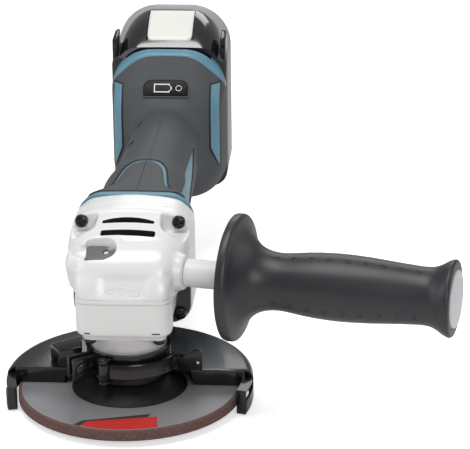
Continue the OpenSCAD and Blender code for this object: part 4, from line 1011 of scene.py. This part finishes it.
def makeBattery():
    rows = [268.2, 271, 276, 282, 285, 287.5, 289, 290.5, 292, 293.5, 295, 296.5, 298, 301, 302.2, 303.2,
        303.9, 304.4]
    bm = stack(200, tableRing, [(shellTable, y) for y in rows] + [(shellTable, rows[-1], -0.8)])
    addPiece("battery_shell", cut(bm, buttonPocket()), greyShell, "battery", sharp=40,
        stands="battery_rear_case")
    # black front half with its rails and terminal slots
    bm = stack(180, frontRing, [(254.45, -1), (254.7, -0.35), (255.4, 0), (260, 0), (267.3, 0), (268, -0.25),
        (268.25, -0.8)])
    bm = cut(bm, bevelled(block(-31, 31, 250.75, 252.35, 30, 107), 0.3),
        block(-27.5, 27.5, 252.2, 255.5, 30.1, 106.9), operation="UNION")
    bm = cut(bm, *[block(x - 1.3, x + 1.3, 250, 258, 15, 90) for x in (-10, 0, 10)], buttonPocket())
    addPiece("battery_front", bm, satinBlack, "battery", sharp=40, stands="battery_front_case")
    for side, word in leftRight:
        arm = bevelled(block(33.7, 37.3, 255.2, 272, 60, 126.4), 1.5, 4)
        for v in arm.verts:
            if v.co.z > 110:
                v.co.z -= 0.35 * (v.co.x - 33.9) + 0.125 * (272 - v.co.y)
                v.co.x -= (v.co.z - 110) * 0.03
        arm = joined(arm, rod((35.3, 254.7, 119), (35.3, 257, 119), 1.3, sides=24))
        ops.scale(arm, vec=(side, 1, 1), verts=arm.verts)
        addPiece("battery_arm_" + word, arm, glossBlack, "battery", sharp=40)
    # glossy hood that curves up and back round the release button
    rows = [254.6, 255.4, 257, *range(260, 285, 4), 287, 289.5, 291, 292, 292.7, 293.2]
    bm = cut(stack(240, tableRing, [(faceTable, y, 0, 0.6) for y in rows]), buttonPocket())
    addPiece("battery_hood", bm, hoodBlack, "battery", sharp=45)


def makeReleaseButton():
    front, rear, half, corner = 259.6, 288.4, 14.6, 4.6
    bm, upper = doubleSheet(24, 30)
    for v in bm.verts:
        u, t = v.co.x * 2, v.co.y + 0.5
        y = front + (rear - front) * t
        inset = corner - sqrt(max(0, corner ** 2 - max(0, front + corner - y) ** 2))
        x = u * (half - inset)
        z = blendTable(faceTable, y)[2] + 0.15 - 0.5 * (x / 33) ** 2
        rim = min(1 - abs(u), t * 2, (1 - t) * 2)
        z -= 0.7 * (1 - ease(rim / 0.12)) if v in upper else 4.5
        v.co = Vector((x, y, z))
    addPiece("battery_button_cap", bm, offWhite, "battery_button", sharp=50, stands="battery_button")


makeBattery()
makeReleaseButton()
print("battery made")

# side handle

# distance along the handle's axis, radius
gripOutline = smoothPath([(66.4, 33.4), (68.2, 28.4), (71, 23.6), (74.8, 19.6), (79.3, 17.2), (84.5, 16),
    (90, 15.8), (96, 16.4), (104, 17.4), (112, 18), (121, 18.3), (131, 18.1), (141, 17.5), (152, 16.6),
    (162, 15.9), (168, 15.7), (172.5, 16.2), (176.3, 17.8), (179.3, 19.7), (181.6, 20.7)], 4)


def onHandle(bm):
    along = Vector((0.9755, -0.2198, 0))
    turn = Matrix(((0, 0, 1), (along.y, -along.x, 0), along)).transposed().to_4x4()
    return moved(bm, shift(0, 0, handleHeight) @ turn)


def gripRadius(t):
    return blendTable(gripOutline, t)[0]


def makeSideHandle():
    collar = spun([(4.2, 35), (7.5, 35), (7.8, 35.4), (7.8, 59.6), (7.5, 60), (4.2, 60)], 72, closed=True)
    addPiece("side_handle_sleeve", onHandle(collar), whitePlastic, stands="side_handle_collar")
    outline = [(4.2, 60.1), (9, 60.1), (9.6, 60.6), (28.4, 60.9), (29, 60.3), (33.6, 60.4), (34.6, 60.9),
        (35, 62), (35, 64.4), (34.7, 65.4), (34.1, 66), *[(r, t) for t, r in gripOutline], (21, 182.4),
        (20.9, 183.4), (20.3, 184.1), (19.2, 184.3), (16.5, 184.3), (16.1, 183.9), (16.1, 183), (4.2, 183)]
    grip = spun(outline, 144, closed=True)
    addPiece("side_handle_rubber", onHandle(grip), rubberGrip, sharp=40, stands="side_handle_grip")
    # small raised rings in four rows along the grip
    dots = []
    for row in (73, -29, 151, 253):
        for i in range(9):
            t = 88 + 9.6 * i
            slope = math.atan2(gripRadius(t + 1) - gripRadius(t - 1), 2)
            place = turned(-row) @ shift(0, gripRadius(t), t) @ Matrix.Rotation(slope - math.pi / 2, 4, "X")
            ring = spun([(0.85, -0.3), (1.05, 0.22), (1.3, 0.3), (1.55, 0.22), (1.75, -0.3)], 18, closed=True)
            dots.append(moved(ring, place))
    addPiece("side_handle_dots", onHandle(joined(*dots)), rubberGrip, sharp=50)
    cap = spun([(0, 186), (11, 185.95), (11.5, 185.75), (12, 185.9), (14.8, 185.6), (15.5, 185.2),
        (15.8, 184.6), (15.8, 182.6), (0, 182.6)])
    addPiece("side_handle_end", onHandle(cap), capGrey, sharp=40, stands="side_handle_cap")


makeSideHandle()
print("side handle made")

# neck, brackets and fasteners


def neckRing(a, z, grow):
    return rectLevel(a, z, 23 + grow, -21.5 - grow, 21.5 + grow, 4, 4)


def makeNeck():
    ring = spun([(10, 14.05), (20.5, 14.05), (21.15, 14.7), (21.15, 26.6), (21.6, 27.8), (21.6, 29),
        (10, 29)], 120, closed=True)
    plate = stack(120, neckRing, [(28, -0.5), (28.3, -0.1), (28.8, 0), (31.9, 0)])
    plate = cut(plate, rod((0, 0, 20), (0, 0, 40), 18.6, sides=64))
    addPiece("neck_casting", joined(ring, plate), castNeck, sharp=40, stands="bearing_box")
    # the first screw of each set stands for the whole set in the CAD model
    for side, word in leftRight:
        for y, end in ((-17.5, "front"), (17.5, "rear")):
            addPiece(f"neck_screw_{word}_{end}", screwHead((19 * side, y, 28), (0, 0, -1), 3.4, 3, washer=4),
                screwBlack, stands="bearing_box_screws" if side < 0 and y < 0 else "")


def makeHeadScrews():
    for side, word in leftRight:
        for z, end in ((27.75, "low"), (82.25, "high")):
            addPiece(f"head_screw_{word}_{end}", screwHead((27.25 * side, 22, z), (0, -1, 0), 3.75, 3.3),
                screwBlack, stands="gear_housing_screws" if side < 0 and z < 50 else "")


def makeBrackets():
    # folded bracket on the guard's left, with a notch in its side
    bm = flatShape([(-39.6, 0.4), (-26.6, 0.4), (-28.6, 15.5), (-46.4, 12.5)], 1.9, 12)
    for v in bm.verts:
        if v.co.z > 10:
            v.co.z += (v.co.x + 40) * 0.22 + v.co.y * 0.05
    bm = cut(bevelled(bm, 0.8, 3), block(-50, -41.2, 3, 8.4, 1, 6.8))
    addPiece("guard_bracket_left", bm, blackPaint, "guard", sharp=35)
    # upright tab on the right, with a rivet
    outline = [(27, 1.9), (27, 10.8), (28.2, 11.3), (32.8, 11.5), (35.6, 14), (39.2, 14.5), (41, 12.4),
        (41, 1.9)]
    bm = moved(bevelled(flatShape(outline, -2, -0.4), 0.35), turned(90, "X"))
    addPiece("guard_tab_right", bm, blackPaint, "guard", sharp=35)
    rivet = spun([(0, 1), (0.7, 0.85), (1.2, 0.4), (1.3, -0.2), (0, -0.2)], 24)
    addPiece("guard_tab_rivet", moved(rivet, shift(38.3, 0.4, 6.2) @ turned(90, "X")), steel, "guard")


def makeClampParts():
    centre, tangent = polar(32.05, clampAngle, 11), polar(1, clampAngle + 90)
    bm = screwHead(centre + tangent * 4.35, tangent, 3.9, 2.6)
    addPiece("clamp_screw_head", bm, screwBlack, "guard", stands="clamp_screw")
    nut = bevelled(rod(centre - tangent * 4.4, centre - tangent * 7.4, 4.2, sides=6), 0.3)
    nut = cut(nut, rod(centre - tangent * 6, centre - tangent * 9, 1.9, sides=24))
    addPiece("clamp_nut_hex", nut, darkSteel, "guard", stands="clamp_nut")
    shank = rod(centre - tangent * 8.6, centre + tangent * 4.6, 1.9, sides=24)
    addPiece("clamp_screw_shank", shank, darkSteel, "guard")
    # hinge lugs of the lever and their pin
    place = shift(leverX, leverY, 0)
    inward = Matrix.Rotation(math.atan2(-leverY, -leverX) - math.pi / 2, 4, "Z")
    lugs = []
    for low, high in ((4.2, 6), (16.6, 18.4)):
        lugs.append(rod((leverX, leverY, low), (leverX, leverY, high), 2.9, sides=40))
        lugs.append(moved(block(-2.9, 2.9, 0, 5.2, low, high), place @ inward))
    addPiece("hinge_lugs", bevelled(joined(*lugs), 0.25), blackPaint, "guard", sharp=40)
    pin = spun([(0, 19.3), (1.2, 19.1), (1.9, 18.5), (1.9, 18.3), (1.35, 18.3), (1.35, 3.6), (0, 3.6)], 32)
    addPiece("hinge_pin", moved(pin, place), darkSteel, "guard", stands="lever_pin")


makeNeck()
makeHeadScrews()
makeBrackets()
makeClampParts()
print("neck and fasteners made")

# paddle


def makePaddle():
    # a channel-shaped lever, hinged at the rear; its front hangs down by the whole travel at rest
    hinge = (218, 38)
    bm = bevelled(block(-15, 15, -97, -2.6, -10, 6.3), 1.2, 4)
    bm = cut(bm, block(-13, 13, -94.6, 5, -7, 10))
    bm = cut(bm, bevelled(block(-14.6, 14.6, -98, -91, -12, -7.6), 1.4, 4), operation="UNION")
    bm = cut(bm, *[block(-11, 11, y, y + 1.6, -11, -9.4) for y in range(-86, -65, 5)])
    lobes = bevelled(rod((-15.1, *hinge), (15.1, *hinge), 4), 0.3)
    bm = cut(moved(bm, shift(0, *hinge) @ turned(4.6, "X")), lobes, operation="UNION")
    bm = cut(bm, block(-12.9, 12.9, 200, 230, 31.3, 50), rod((-20, *hinge), (20, *hinge), 2.2, sides=32),
        block(-3.6, 3.6, 130.5, 146, 10, 28))
    addPiece("paddle_lever", bm, satinBlack, "paddle", sharp=40, stands="paddle")


makePaddle()
print("paddle made")

# parts inside, which keep their shape and get a fitting finish

innerFinishes = {
    steel: "spindle bevel_gear gear_circlip bearing_retainer spindle_bearing spindle_top_bearing"
        " motor_front_bearing motor_rear_bearing rotor_shaft pinion pinion_nut lock_pin lock_spring"
        " side_handle_stud paddle_pin paddle_spring lock_off_spring battery_button_spring controller",
    lamination: "rotor_core stator_core rotor_magnets", copper: "stator_windings",
    wireRed: "motor_leads switch_plunger", cellWrap: "battery_cells",
    satinBlack: "switch_unit lock_off_lever air_baffle bearing_cushion", whitePlastic: "cooling_fan"}


def finishInside():
    for finish, names in innerFinishes.items():
        for name in names.split():
            held = bpy.data.objects[name]
            if not held.material_slots:
                held.data.materials.append(finish)
            for slot in held.material_slots:
                slot.material = finish


finishInside()
print("inside finished")

# light, floor and camera


def areaLight(name, place, aim, width, height, power):
    data = bpy.data.lights.new(name, "AREA")
    data.shape = "RECTANGLE"
    data.size, data.size_y = width, height
    data.energy = power
    lamp = linked(name, data)
    lamp.location = place
    lamp.rotation_euler = (Vector(aim) - Vector(place)).to_track_quat("-Z", "Y").to_euler()


def makeStudio():
    areaLight("key_softbox", (-0.12, -0.06, 1.15), (0, 0.08, 0.04), 0.55, 0.75, 7.6)
    areaLight("front_softbox", (0.55, -1.3, 0.75), (0, 0.05, 0.03), 0.7, 0.6, 7.2)
    areaLight("left_softbox", (-1.25, -0.15, 0.65), (0, 0.1, 0.04), 0.6, 0.9, 4)
    areaLight("right_softbox", (1.25, 0.35, 0.55), (0, 0.1, 0.04), 0.6, 0.9, 2.4)
    areaLight("rear_softbox", (0.1, 1.35, 0.85), (0, 0.1, 0.06), 0.8, 0.6, 3.2)
    # the world looks white to the camera and lights the tool softly
    world = bpy.data.worlds.new("studio")
    bpy.context.scene.world = world
    world.use_nodes = True
    ray = addNode(world.node_tree, "LightPath")
    level = addNode(world.node_tree, "MapRange", Value=(ray, "Is Camera Ray"))
    setInputs(level, {"To Min": 0.25, "To Max": 1})
    setInputs(world.node_tree.nodes["Background"], {"Color": (1, 1, 1, 1), "Strength": (level, "Result")})


def makeFloor():
    bm = bmesh.new()
    ops.create_grid(bm, x_segments=1, y_segments=1, size=6)
    mesh = bpy.data.meshes.new("floor")
    moved(bm, shift(0, 0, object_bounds()[0][2] - 0.0005)).to_mesh(mesh)
    bm.free()
    floor = linked("floor", mesh)
    material = bpy.data.materials.new("paleFloor")
    material.use_nodes = True
    ray = addNode(material.node_tree, "LightPath")
    lift = addNode(material.node_tree, "Math")
    lift.operation = "MULTIPLY"
    setInputs(lift, {0: (ray, "Is Camera Ray"), 1: 0.55})
    setInputs(material.node_tree.nodes["Principled BSDF"], {"Base Color": (0.86, 0.86, 0.86, 1),
        "Roughness": 0.9, "Specular IOR Level": 0.1, "Emission Color": (1, 1, 1, 1),
        "Emission Strength": (lift, "Value")})
    mesh.materials.append(material)


def makeCamera():
    data = bpy.data.cameras.new("camera")
    data.sensor_width = 36
    data.sensor_fit = "HORIZONTAL"
    data.lens = 172.55
    data.clip_start = 0.05
    camera = linked("camera", data)
    right, up, back = (0.99766, 0.06762, -0.01024), (-0.0135, 0.34152, 0.93978), (0.06704, -0.93744, 0.34164)
    turn = Matrix((right, up, back)).transposed().to_4x4()
    camera.matrix_world = Matrix.Translation(Vector((142.71, -1153.59, 509.46)) * mm) @ turn
    bpy.context.scene.camera = camera


makeStudio()
makeFloor()
makeCamera()
bpy.context.scene.view_settings.view_transform = "Standard"
